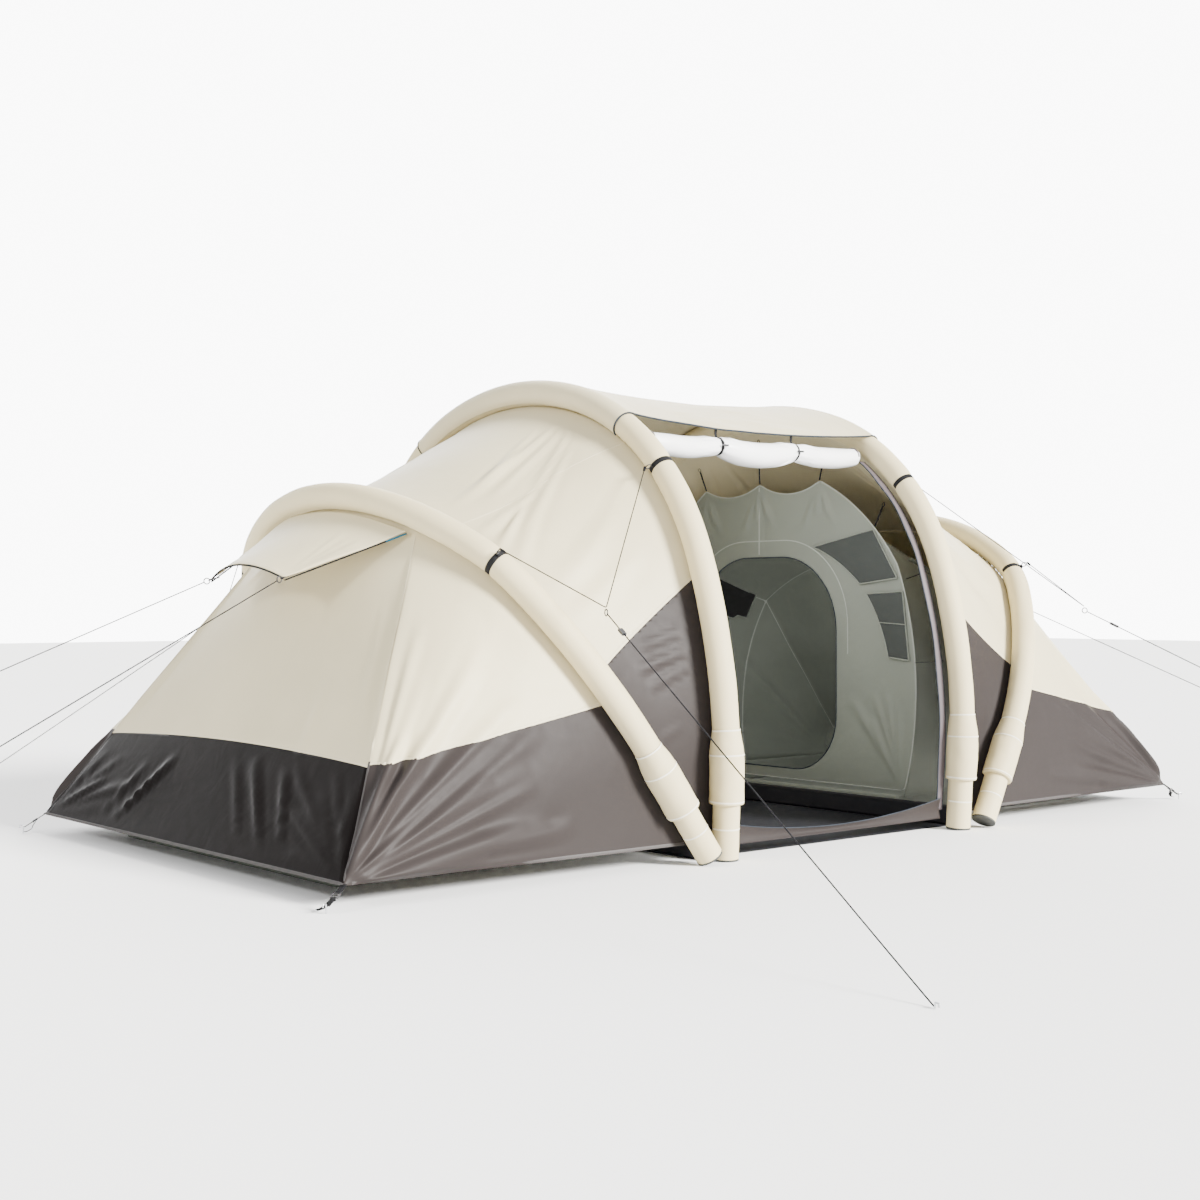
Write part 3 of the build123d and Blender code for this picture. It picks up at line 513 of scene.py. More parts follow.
def arch_arcs(arch):
    """Arcs as (centre x, centre y, radius, first turn, last turn) in the arch's plane."""
    turn = arch["lean"]
    x = arch["foot_y"] - sin(radians(turn)) * arch["leg"]
    y = cos(radians(turn)) * arch["leg"]
    rise = []
    for radius, sweep in arch["arcs"]:
        cx, cy = x - cos(radians(turn)) * radius, y - sin(radians(turn)) * radius
        rise.append((cx, cy, radius, turn, turn + sweep))
        turn += sweep
        x, y = cx + cos(radians(turn)) * radius, cy + sin(radians(turn)) * radius
    crown = x / cos(radians(turn))
    fall = [(-cx, cy, r, 180 - b, 180 - a) for cx, cy, r, a, b in reversed(rise)]
    return rise + [(0.0, y - sin(radians(turn)) * crown, crown, turn, 180 - turn)] + fall


def arch_line(arch, inset, counts, low=0.0, start=None, stop=None):
    """Rows of (x, y, turn) from the back foot over the crown to the front foot."""
    lean, arcs = arch["lean"], arch_arcs(arch)
    cx, cy, r, a, b = arcs[0]
    top = (cx + cos(radians(a)) * (r - inset), cy + sin(radians(a)) * (r - inset))
    foot = (top[0] + (top[1] - low) * tan(radians(lean)), low)
    runs = [] if start is not None else [(foot, top, lean)]
    for cx, cy, r, a, b in arcs:
        a = a if start is None else max(a, start)
        b = b if stop is None else min(b, stop)
        if b - a > 0.01:
            runs.append((cx, cy, r - inset, a, b))
    if stop is None:
        runs.append(((-top[0], top[1]), (-foot[0], foot[1]), 180 - lean))
    rows = []
    for run, count in zip(runs, counts):
        for t in np.linspace(0, 1, count + 1)[1 if rows else 0:]:
            if len(run) == 3:
                (x0, y0), (x1, y1), turn = run
                rows.append((x0 + (x1 - x0) * t, y0 + (y1 - y0) * t, turn))
            else:
                x0, y0, radius, start_turn, end_turn = run
                turn = start_turn + (end_turn - start_turn) * t
                rows.append((x0 + cos(radians(turn)) * radius, y0 + sin(radians(turn)) * radius, turn))
    return np.array(rows)


def arch_ways(arch, side):
    """The arch plane's way out of the tent and its way up the slope."""
    tilt = radians(arch["tilt"])
    return np.array([side * cos(tilt), 0, -sin(tilt)]), np.array([side * sin(tilt), 0, cos(tilt)])


def place(arch, side, rows, shift=0.0):
    """World points of rows in the arch's plane, moved out of the tent's ends by shift."""
    out, up = arch_ways(arch, side)
    origin = np.array([side * arch["foot_x"], 0, 0]) + out * shift
    return origin + rows[:, :1] * np.array([0, 1.0, 0]) + rows[:, 1:2] * up


def ring_ways(arch, side, rows):
    """At each row: the way out of the tent's end, and the way out of the arch."""
    out, up = arch_ways(arch, side)
    turn = np.radians(rows[:, 2])
    away = np.cos(turn)[:, None] * np.array([0, 1.0, 0]) + np.sin(turn)[:, None] * up
    return np.broadcast_to(out, away.shape), away


def arch_spot(arch, side, face, turn, inset=0.0, shift=0.0):
    """One point at a turn on the front or back half, with the way up along the beam."""
    for cx, cy, r, a, b in arch_arcs(arch):
        if a <= turn <= b:
            x, y = cx + cos(radians(turn)) * (r - inset), cy + sin(radians(turn)) * (r - inset)
            out, up = arch_ways(arch, side)
            spot = place(arch, side, np.array([[face * x, y, turn]]), shift)[0]
            heading = -face * sin(radians(turn)) * np.array([0, 1.0, 0]) + cos(radians(turn)) * up
            away = face * cos(radians(turn)) * np.array([0, 1.0, 0]) + sin(radians(turn)) * up
            return spot, heading, out, away


# ---------------------------------------------------------------- guy lines, the free cords
def free_cord(name, points):
    """A taut line along its route points, from its ring to its peg."""
    data = bpy.data.curves.new(name, "CURVE")
    data.dimensions = "3D"
    spline = data.splines.new("NURBS")
    spline.points.add(len(points) - 1)
    for spot, p in zip(spline.points, points):
        spot.co = (*p, 1)
    spline.order_u = 3
    spline.use_endpoint_u = True
    spline.resolution_u = 12
    data.bevel_depth = 0.0025
    data.bevel_resolution = 3
    data.use_fill_caps = True
    data.materials.append(black_braid)
    line = bpy.data.objects.new(name + "_rope", data)
    scene.collection.objects.link(line)
    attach(line, "tent")
    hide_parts(name)
    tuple(points[0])
    return line


free_cord("front_left_guy_line", [(-1.604, -1.5838, 1.058), (-2.2038, -3.6466, 0.017),
                                  (-2.2132, -3.6788, 0.0045)])
free_cord("back_left_guy_line", [(-1.604, 1.5838, 1.058), (-2.2038, 3.6466, 0.017),
                                 (-2.2132, 3.6788, 0.0045)])
free_cord("front_right_guy_line", [(1.604, -1.5838, 1.058), (2.2038, -3.6466, 0.017),
                                   (2.2132, -3.6788, 0.0045)])
free_cord("back_right_guy_line", [(1.604, 1.5838, 1.058), (2.2038, 3.6466, 0.017),
                                  (2.2132, 3.6788, 0.0045)])
free_cord("front_left_hood_line", [(-2.3539, -0.3294, 1.1944), (-4.9115, -1.0393, 0.017),
                                   (-4.9437, -1.0483, 0.0045)])
free_cord("back_left_hood_line", [(-2.3539, 0.3294, 1.1944), (-4.9115, 1.0393, 0.017),
                                  (-4.9437, 1.0483, 0.0045)])
free_cord("front_right_hood_line", [(2.3467, -0.3427, 1.1941), (4.3196, -2.0241, 0.017),
                                    (4.3451, -2.0458, 0.0045)])
free_cord("back_right_hood_line", [(2.3508, 0.3341, 1.1917), (4.3136, 1.2333, 0.017),
                                   (4.3441, 1.2473, 0.0045)])

# ---------------------------------------------------------------- fly: the bays between the beams
CLOTH_THICK = 0.0012
BAY_COUNTS = (20, 44, 36, 70, 36, 44, 20)
BAY_COLUMNS = 64
bay_low = HEM / cos(radians(OUTER["tilt"]))
bay_folds = [((-0.95, -0.33, 1.955), (-1.49, -0.56, 1.62), 0.034, 0.0075),
             ((-0.93, -0.42, 1.95), (-1.64, -0.58, 1.53), 0.040, 0.0085),
             ((-0.93, -0.47, 1.93), (-1.50, -0.66, 1.57), 0.030, 0.0060),
             ((-0.93, -0.52, 1.92), (-1.31, -0.73, 1.61), 0.030, 0.0070),
             ((-0.97, -0.59, 1.87), (-1.61, -0.98, 1.28), 0.045, 0.0080),
             ((-1.31, -0.74, 1.61), (-1.67, -0.81, 1.39), 0.038, 0.0090),
             ((-1.39, -0.77, 1.55), (-1.64, -0.92, 1.33), 0.036, 0.0090),
             ((-1.33, -0.83, 1.52), (-1.60, -1.00, 1.25), 0.040, 0.0070),
             ((-0.90, -0.95, 1.60), (-1.55, -1.10, 1.10), 0.100, 0.0080),
             ((-0.90, -1.08, 1.40), (-1.50, -1.17, 0.98), 0.090, 0.0070),
             ((-0.86, -1.288, 1.004), (-1.155, -1.26, 0.919), 0.026, 0.0060),
             ((-0.867, -1.307, 0.915), (-1.18, -1.281, 0.821), 0.030, 0.0070),
             ((-0.874, -1.318, 0.849), (-1.133, -1.304, 0.744), 0.026, 0.0055),
             ((-0.88, -1.325, 0.62), (-1.10, -1.33, 0.52), 0.030, 0.0035)]
for side_name, side in SIDES:
    outer_edge = place(OUTER, side, arch_line(OUTER, FLY_INSET, BAY_COUNTS, low=bay_low), -0.002)
    inner_edge = place(INNER, side, arch_line(INNER, FLY_INSET, BAY_COUNTS, low=HEM), 0.002)
    v = np.linspace(0, 1, BAY_COLUMNS)[None, :, None]
    bay = between(outer_edge, inner_edge, v)
    normals = grid_normals(bay)
    held = (4 * v * (1 - v))[..., 0]
    specs = mirrored(bay_folds, x=-side) + mirrored(bay_folds[1:9:2], x=-side, y=-1)
    specs += mirrored(bay_folds[10:], x=-side, y=-1)
    height = -0.022 * held + folds(bay, specs) * held**0.35
    height += ripple(bay, 2.2, 0.007, 3 + side) * held**0.5
    bay = bay + normals * height[..., None]
    skin = Skin(bay, grid_normals(bay))
    low, high = np.array([side * 1.409, 0, 0.785]), np.array([side * 0.826, 0, 1.216])
    across = (side * (high[2] - low[2]), 0, abs(low[0] - high[0]))
    whole = as_part(bay)
    above, below, line = cut(whole, tuple(low), across)
    bay_piece = make(f"{side_name}_bay_cloth", [above], cream, thick=CLOTH_THICK)
    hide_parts(f"{side_name}_bay_fly")
    gusset_piece = make(f"{side_name}_gusset_cloth", [below], grey, thick=CLOTH_THICK)
    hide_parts(f"{side_name}_gussets")
    tapes = []
    for face in (-1, 1):
        seam = sorted([p for p in line if p[1] * face > 0], key=lambda p: p[0] * side)
        tapes.append(seam_on(skin, seam, 60, 0.014))
    # a panel seam that crosses the bay, on both slopes
    for rows in (bay, bay[::-1]):
        chain = []
        for j in range(2, BAY_COLUMNS - 1, 4):
            row = 161 + 21 * j / BAY_COLUMNS
            part = row - int(row)
            chain.append(rows[int(row), j] * (1 - part) + rows[int(row) + 1, j] * part)
        seam = smooth_line(chain, 80)
        tapes.append(tape(seam, skin.at(seam), 0.010, 0.0018))
    hems = [bay[0, 1:-1], bay[-1, 1:-1]]
    hem_tapes = [seam_on(skin, hem, 60, 0.016) for hem in hems]
    bay_tape = make_tapes(f"{side_name}_bay_seams", tapes, cream_tape)
    hem_tape = make_tapes(f"{side_name}_bay_hems", hem_tapes, grey_tape)

# ---------------------------------------------------------------- fly: the ends
CREASE = degrees(acos(0.630 / arch_arcs(OUTER)[2][2]))
END_COLUMNS = 96
BAND_BULGE = 0.035
end_folds = fan((-1.93, -0.08, 1.46), [(-2.02, 0.66, 1.18), (-2.12, 0.30, 1.02)], 8,
                0.030, 0.0060, 5, near=0.1)
end_folds += [((-1.88, -0.70, 1.30), (-2.285, -1.03, 0.69), 0.040, 0.0080),
              ((-1.95, -0.72, 1.20), (-2.346, -1.09, 0.587), 0.034, 0.0060),
              ((-1.98, -0.62, 1.20), (-2.30, -0.92, 0.66), 0.050, 0.0060),
              ((-2.645, 0.654, 0.121), (-2.48, 0.373, 0.43), 0.036, 0.0110),
              ((-2.650, 0.80, 0.12), (-2.50, 0.60, 0.39), 0.030, 0.0060),
              ((-2.635, -0.688, 0.139), (-2.461, -0.30, 0.467), 0.040, 0.0075),
              ((-2.625, -0.835, 0.156), (-2.468, -0.572, 0.445), 0.034, 0.0070),
              ((-2.640, -0.52, 0.13), (-2.47, -0.16, 0.45), 0.030, 0.0045),
              ((-2.268, -0.564, 0.799), (-2.430, -0.64, 0.50), 0.040, 0.0050),
              ((-2.10, 0.80, 1.00), (-2.40, 1.10, 0.52), 0.050, 0.0060)]
end_folds += fan((-2.66, -1.345, 0.09), [(-2.44, -1.12, 0.50), (-2.46, -0.62, 0.46), (-2.60, -0.60, 0.18)],
                 15, 0.026, 0.0052, 11)
end_folds += fan((-2.66, 1.345, 0.09), [(-2.46, 1.12, 0.44), (-2.48, 0.62, 0.42), (-2.62, 0.60, 0.15)],
                 13, 0.026, 0.0055, 12)
cone_folds = fan((-2.66, -1.366, 0.088),
                 [(-2.27, -1.10, 0.72), (-1.90, -1.12, 0.92), (-1.60, -1.26, 0.66), (-1.55, -1.36, 0.30),
                  (-1.45, -1.40, 0.12)], 21, 0.046, 0.0125, 21, near=0.04, far=(0.45, 0.95))
cone_folds += fan((-2.62, -1.35, 0.14), [(-2.00, -0.88, 1.10), (-1.70, -1.10, 1.05)], 6, 0.050, 0.0080, 23,
                  near=0.2, far=(0.7, 0.95))
for side_name, side in SIDES:
    low = HEM / cos(radians(OUTER["tilt"]))
    half = arch_line(OUTER, FLY_INSET, (22, 46, 16, 14), low=low, stop=CREASE)
    crown = arch_line(OUTER, FLY_INSET, (76,), start=CREASE, stop=180 - CREASE)
    line = np.concatenate([half, crown[1:-1], half[::-1] * [-1, 1, 1]])
    top = place(OUTER, side, line, 0.002)
    n, m = len(half), len(crown)
    hem_y = np.concatenate([np.full(n, CORNER[1]), np.linspace(CORNER[1], -CORNER[1], m)[1:-1],
                            np.full(n, -CORNER[1])])
    hem = np.stack([np.full(len(hem_y), side * CORNER[0]), hem_y, np.full(len(hem_y), HEM)], 1)
    v = np.linspace(0, 1, END_COLUMNS)[None, :, None]
    panel = top[:, None] * (1 - v) + hem[:, None] * v
    normals = grid_normals(panel)
    held = (4 * v * (1 - v))[..., 0]
    middle = np.clip(1 - (panel[..., 1] / 1.25) ** 2, 0, 1)
    specs = mirrored(end_folds, x=-side)
    cones = mirrored(cone_folds, x=-side) + mirrored(cone_folds, x=-side, y=-1)
    height = -0.030 * held * middle + folds(panel, specs) * np.clip(held * 4, 0, 1)
    is_cone = np.zeros(panel.shape[:2])
    is_cone[:n] = 1
    is_cone[-n:] = 1
    height = height * (1 - 0.85 * is_cone) + folds(panel, cones) * np.clip(held * 5, 0, 1) * is_cone
    height += ripple(panel, 1.8, 0.006, 8 + side) * held
    panel = panel + normals * height[..., None]
    skin = Skin(panel, grid_normals(panel))
    bend = np.array([side * 2.416, 0, 0.490]), np.array([side * 1.349, 0, 0.694])
    across = (side * (bend[1][2] - bend[0][2]), 0, abs(bend[0][0] - bend[1][0]))
    uppers, lowers, seams = [], [], []
    for rows in (slice(0, n), slice(len(line) - n, len(line))):
        cone = panel[rows]
        above, below, seam = cut(as_part(cone), tuple(bend[0]), across)
        uppers.append(above)
        lowers.append(below)
        seams.append(sorted(seam, key=lambda p: p[0] * side))
    side_band = make(f"{side_name}_side_band_cloth", lowers, grey, thick=CLOTH_THICK)
    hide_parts(f"{side_name}_side_bands")
    flat_end = panel[n - 1:len(line) - n + 1].copy()
    arched = BAND_BULGE * (1 - (flat_end[..., 1] / 1.15) ** 2)
    flat_end[..., 2] -= arched
    above, below, seam = cut(as_part(flat_end),
                             (side * CORNER[0], 0, 0.482), (0, 0, 1))

    def unbend(points):
        return [(p[0], p[1], p[2] + BAND_BULGE * (1 - (p[1] / 1.15) ** 2)) for p in points]

    band = make(f"{side_name}_end_band_cloth", [(unbend(below[0]), below[1])], charcoal,
                thick=CLOTH_THICK)
    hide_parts(f"{side_name}_end_band")
    uppers.append((unbend(above[0]), above[1]))
    seams.append(sorted([np.array(p) for p in unbend(seam)], key=lambda p: p[1]))
    end_piece = make(f"{side_name}_end_cloth", uppers, cream, thick=CLOTH_THICK)
    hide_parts(f"{side_name}_end_fly")
    tapes = [seam_on(skin, seam, 90, 0.012) for seam in seams]
    for row in (n - 1, len(line) - n):
        crease_line = spaced(panel[row, 3:-3], 100)
        high_part = crease_line[crease_line[:, 2] > 0.50]
        tapes.append(tape(high_part, skin.at(high_part), 0.009, 0.0020))
    end_seams = make_tapes(f"{side_name}_end_seams", tapes, cream_tape)
    dark = []
    for row in (n - 1, len(line) - n):
        crease_line = spaced(panel[row, 3:-1], 100)
        low_part = crease_line[crease_line[:, 2] <= 0.50]
        dark.append(tape(low_part, skin.at(low_part), 0.009, 0.0020))
    dark.append(seam_on(skin, panel[n - 1:len(line) - n + 1, -1] + [0, 0, 0.006], 80, 0.014))
    for row_line in (panel[0], panel[-1]):
        dark.append(seam_on(skin, row_line[:-2] + [0, 0, 0.006], 60, 0.014))
    end_hems = make_tapes(f"{side_name}_end_hems", dark, grey_tape)

# ---------------------------------------------------------------- air beams
ROOF_FRONT, ROOF_BACK = 180 - 57.5, 57.5
STRAP_TURN = {"inner": 42.0, "outer": 44.0}


def beam_rows(arch, spacing, low):
    lengths = [arch["leg"]] + [r * radians(b - a) for _, _, r, a, b in arch_arcs(arch)] + [arch["leg"]]
    counts = [max(6, int(length / spacing)) for length in lengths]
    return arch_line(arch, 0.0, counts, low=low)


def foot_drop(arch):
    rise = cos(radians(arch["lean"])) * cos(radians(arch["tilt"]))
    return TUBE * (1 - rise**2) ** 0.5 / cos(radians(arch["tilt"]))


def run_length(rows):
    return np.concatenate([[0], np.cumsum(np.hypot(*np.diff(rows[:, :2], axis=0).T))])


def ring_grid(arch, side, rows, radius, angles):
    """Points round a beam. An angle of 0 points out of the tent's end, 90 degrees out of the arch."""
    out, away = ring_ways(arch, side, rows)
    centre = place(arch, side, rows)
    radius = np.broadcast_to(np.asarray(radius, float), (len(rows), len(angles)))[..., None]
    return centre[:, None] + radius * (np.cos(angles)[None, :, None] * out[:, None]
                                       + np.sin(angles)[None, :, None] * away[:, None])


AROUND = 44
ring_angles = np.linspace(0, 2 * pi, AROUND, endpoint=False)
bladder_parts = []
for side_name, side in SIDES:
    for kind, arch in BEAMS:
        rows = beam_rows(arch, 0.014, foot_drop(arch) + 0.008)
        along = run_length(rows)
        end = along[-1]
        cinch = np.zeros(len(rows))
        for turn in (STRAP_TURN[kind], 180 - STRAP_TURN[kind]):
            spot = along[np.argmin(abs(rows[:, 2] - turn))]
            cinch += np.exp(-(((along - spot) / 0.022) ** 2))
        for spot in (0.128, end - 0.128):
            cinch += 0.16 * np.exp(-(((along - spot) / 0.006) ** 2))
        grid = ring_grid(arch, side, rows, TUBE, ring_angles)
        swell = ripple(grid, 6.0, 0.0016, 20 + side) + ripple(grid, 28.0, 0.0004, 31)
        # small folds across the sleeve where the arch turns, on the side that faces the room
        room_side = np.clip(-np.sin(ring_angles), 0, 1)[None, :] ** 1.5
        turning = np.interp(rows[:, 2] if rows[0, 2] < rows[-1, 2] else rows[::-1, 2],
                            [20, 55, 70, 110, 125, 160], [0.2, 1, 0.4, 0.4, 1, 0.2])[:, None]
        waves = np.sin(along * 2 * pi / 0.055 + 1.5 * np.sin(along * 5.0))
        pleats = 0.0014 * waves[:, None] * room_side * turning
        radius = TUBE + swell + pleats - 0.0045 * cinch[:, None]
        grid = ring_grid(arch, side, rows, radius, ring_angles)
        part = as_part(grid, True)
        beam = make(f"{side_name}_{kind}_sleeve", [part], sleeve)
        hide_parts(f"{side_name}_{kind}_beam")
        core = ring_grid(arch, side, rows[::4], TUBE - 0.006, ring_angles[::2])
        bladder_parts.append(as_part(core, True))
bladder = make("air_tubes", bladder_parts, film)
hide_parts("air_bladders")

# ---------------------------------------------------------------- cuffs low on each leg
def legs():
    """Side, arch, and finely spaced rows from each foot up, with their run lengths."""
    for _, side in SIDES:
        for _, arch in BEAMS:
            rows = arch_line(arch, 0.0, (220, 900, 10, 10, 10, 900, 220), low=foot_drop(arch) + 0.008)
            for leg_rows in (rows, rows[::-1]):
                yield side, arch, leg_rows, run_length(leg_rows)


def leg_spots(rows, along, heights):
    """The rows at some heights along a leg."""
    return np.stack([np.interp(heights, along, rows[:, k]) for k in range(3)], 1)


cuff_parts = []
CUFF_PROFILE = ((0.2345, 0.0590), (0.2350, 0.0730), (0.2375, 0.0748), (0.262, 0.0752), (0.300, 0.0750),
                (0.345, 0.0755), (0.400, 0.0753), (0.440, 0.0750), (0.462, 0.0735), (0.490, 0.0695),
                (0.520, 0.0645), (0.545, 0.0612), (0.552, 0.0606), (0.5525, 0.0588))
# towards the room a cuff reaches no further than INWARD_REACH, or stays snug on the sleeve
SNUG_RADIUS, INWARD_REACH = 0.0592, 0.0535
profile_heights, profile_radii = zip(*CUFF_PROFILE)
inward = np.clip(-np.sin(ring_angles), 0, 1)
allowed = np.where(inward > 0.05, INWARD_REACH / np.maximum(inward, 0.05), 1.0)
for side, arch, rows, along in legs():
    fine = np.interp(np.linspace(0, 1, 64) * (len(CUFF_PROFILE) - 1), range(len(CUFF_PROFILE)),
                     profile_heights)
    sizes = np.interp(fine, profile_heights, profile_radii)
    picked = leg_spots(rows, along, fine)
    radius = np.minimum(sizes[:, None], np.maximum(allowed[None, :], SNUG_RADIUS))
    base = ring_grid(arch, side, picked, radius, ring_angles)
    rub = ripple(base, 16.0, 0.0022, 41 + side) + ripple(base, 45.0, 0.0006, 43)
    keep = np.clip((radius - SNUG_RADIUS) / 0.010, 0, 1)
    cuff_parts.append(as_part(ring_grid(arch, side, picked, radius + rub * keep, ring_angles), True))
cuffs = make("foot_cuff_cloth", cuff_parts, sleeve)
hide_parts("foot_cuffs")

# stitched seams round the sleeves
seam_loops = []
arc = np.linspace(radians(-28), radians(208), 44)
for side, arch, rows, along in legs():
    for height, radius in ((0.128, 0.0582), (0.246, 0.0752), (0.444, 0.0752), (0.548, 0.0612)):
        spot = leg_spots(rows, along, [height])
        loop = ring_grid(arch, side, spot, radius, arc)[0]
        seam_loops.append(tape(loop, unit(loop - place(arch, side, spot)[0]), 0.007, 0.0009))
sleeve_tape = tape_cloth("sleeve_tape", (0.82, 0.78, 0.66), (0.55, 0.52, 0.43))
make_tapes("sleeve_seams", seam_loops, sleeve_tape)

# ---------------------------------------------------------------- living room roof
ROOF_COLUMNS = 110
roof_rows = arch_line(INNER, 0.0, (24, 66, 24), start=ROOF_BACK, stop=ROOF_FRONT)
wrap = np.radians(np.linspace(-58, 100, 22))
halves = {side: ring_grid(INNER, side, roof_rows, TUBE + 0.0042, wrap) for _, side in SIDES}
left_top, right_top = halves[-1][:, -1], halves[1][:, -1]
t = np.linspace(0, 1, ROOF_COLUMNS)[1:-1][None, :, None]
span = between(left_top, right_top, t)
_, away = ring_ways(INNER, 1, roof_rows)
dip = 0.040 * (4 * t * (1 - t)) ** 0.8
span = span - away[:, None] * dip
roof_folds = fan((-0.74, -0.72, 1.945), [(0.25, -0.10, 2.13), (0.20, -0.55, 2.05), (0.1, -0.78, 1.93)], 8,
                 0.050, 0.0085, 51, near=0.12, far=(0.45, 0.95))
roof_folds += fan((0.74, -0.74, 1.94), [(-0.15, -0.02, 2.14), (-0.15, -0.40, 2.09), (-0.10, -0.75, 1.95)], 9,
                  0.045, 0.0085, 52, near=0.1, far=(0.45, 0.95))
roof_folds += mirrored(roof_folds[::2], y=-1)
steady = (np.clip(4 * t * (1 - t), 0, 1))[..., 0]
lift = folds(span, roof_folds) * np.clip(steady * 3, 0, 1) + ripple(span, 2.5, 0.006, 54) * steady
span = span + away[:, None] * lift[..., None]
roof = np.concatenate([halves[-1], span, halves[1][:, ::-1]], 1)
roof_piece = make("living_roof_cloth", [as_part(roof)], cream,
                  thick=CLOTH_THICK)
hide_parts("living_roof")
roof_edges = make("roof_bindings", [tube(spaced(roof[row], 160), 0.0042, 8) for row in (0, -1)],
                  binding_cloth)
skin = Skin(roof, grid_normals(roof))
roof_tapes = [seam_on(skin, roof[:, column], 70, 0.010) for column in (27, -28)]
roof_seams = make_tapes("roof_seams", roof_tapes, cream_tape)

# ---------------------------------------------------------------- closed back door and sills
DOOR_SHIFT, DOOR_INSET, BAND_TOP = -0.062, 0.055, 0.480
door_counts = (14, 50, 46)
edge = arch_line(INNER, DOOR_INSET, door_counts, low=HEM, stop=56.5)
left_edge, right_edge = (place(INNER, side, edge, DOOR_SHIFT) for side in (-1, 1))
t = np.linspace(0, 1, 90)[None, :, None]
door = between(left_edge, right_edge, t)
_, away = ring_ways(INNER, 1, edge)
held = (4 * t * (1 - t))[..., 0]
door_folds = fan((-0.72, 1.38, 0.12), [(0.1, 1.40, 0.9), (0.45, 1.42, 0.35)], 6,
                 0.04, 0.006, 61, far=(0.4, 0.8))
door_folds += mirrored(door_folds, x=-1)
door_folds += fan((-0.70, 0.95, 1.70), [(0.3, 1.20, 1.35), (-0.2, 1.35, 0.9)], 5,
                  0.05, 0.006, 62, far=(0.4, 0.8))
lift = -0.014 * held + folds(door, door_folds) * held**0.5 + ripple(door, 2.4, 0.008, 63) * held**0.5
door = door + away[:, None] * lift[..., None]
# the door's top turns out to the roof's back edge
roof_edge = spaced(span[0], 90) - away[-1] * 0.004
rise = np.linspace(0, 1, 7)[1:, None, None]
door = np.concatenate([door, door[-1:] * (1 - rise) + roof_edge[None] * rise])
skin = Skin(door, grid_normals(door))
above, below, seam = cut(as_part(door), (0, 0, BAND_TOP), (0, 0, 1))
back_door = make("back_door_cloth", [above], cream, thick=CLOTH_THICK)
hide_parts("back_door")
zips = []
for side in (-1, 1):
    column = 9 if side < 0 else -10
    zips.append(seam_on(skin, door[2:-6, column], 120, 0.022, 0.0022))
seam = seam_on(skin, sorted(seam, key=lambda p: p[0]), 80, 0.012)
door_zips = make_tapes("back_door_zips", zips, grey_tape)
door_seam = make_tapes("back_door_seam", [seam], cream_tape)

sill_top = np.array(arc_three((-0.70, 0.141), (0, 0.088), (0.70, 0.155), 90))
up = np.linspace(0, 1, 12)
sill = np.zeros((90, 12, 3))
sill[..., 0] = sill_top[:, None, 0]
sill[..., 2] = 0.055 * (1 - up) + sill_top[:, None, 1] * up
sill[..., 1] = -1.3645 + 0.010 * np.sin(up * pi)[None, :] + ripple(sill, 5.0, 0.006, 66)
front_sill = as_part(sill)
sills = make("sill_cloth", [below, front_sill], grey, thick=CLOTH_THICK)
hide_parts("door_sills")
sill_edge = make("sill_edges", [tube(spaced(sill[:, -1], 90), 0.0022, 8)], binding_cloth)

flap_parts, flap_zips = [], []
for side in (-1, 1):
    rows = arch_line(INNER, DOOR_INSET, (16, 60, 56), low=0.095, stop=53.5) * [-1, 1, 1]
    rows[:, 2] = 180 - rows[:, 2]
    out, away = ring_ways(INNER, side, rows)
    near, far = place(INNER, side, rows, DOOR_SHIFT), place(INNER, side, rows, DOOR_SHIFT - 0.045)
    t = np.linspace(0, 1, 10)[None, :, None]
    flap = between(near, far, t)
    wave = 0.004 * np.sin(pi * t) + 0.0025 * np.sin(np.linspace(0, 34, len(rows)))[:, None, None] * t**2
    flap = flap + away[:, None] * wave
    flap_parts.append(as_part(flap))
    skin = Skin(flap, grid_normals(flap))
    flap_zips.append(tube(spaced(flap[:, -1], 160), 0.0032, 8))
    flap_zips.append(tube(spaced(flap[:, 0], 160), 0.0026, 8))
flaps = make("zip_flap_cloth", flap_parts, mauve, thick=0.0016)
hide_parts("zip_flaps")
zip_lines = make("zip_coils", flap_zips, binding_cloth)

# ---------------------------------------------------------------- rolled front door
ROLL_Y, ROLL_Z, TIE_X, ROLL_END = -0.800, 1.850, 0.258, 0.708
ROLL_STEPS, ROLL_AROUND = 240, 64
# the roll is thinnest at its ties; its middle lobe is fatter and sags more than its side lobes
TIED_RADIUS = 0.0345
SIDE_GIRTH, MIDDLE_GIRTH = 0.0175, 0.0280
SIDE_SAG, MIDDLE_SAG = 0.016, 0.030
roll_x = np.linspace(-ROLL_END, ROLL_END, ROLL_STEPS)
lobes = ((-ROLL_END - 0.02, -TIE_X), (-TIE_X, TIE_X), (TIE_X, ROLL_END + 0.02))
fat, drop = np.zeros(ROLL_STEPS), np.zeros(ROLL_STEPS)
for start, end in lobes:
    inside = (roll_x >= start) & (roll_x <= end)
    u = (roll_x[inside] - start) / (end - start)
    fat[inside] = (4 * u * (1 - u)) ** 0.38
    drop[inside] = 4 * u * (1 - u)
turns = np.linspace(0, 2 * pi, ROLL_AROUND, endpoint=False)
roll = np.zeros((ROLL_STEPS, ROLL_AROUND, 3))
girth = np.where(np.abs(roll_x) < TIE_X, MIDDLE_GIRTH, SIDE_GIRTH)
base_radius = TIED_RADIUS + girth * fat
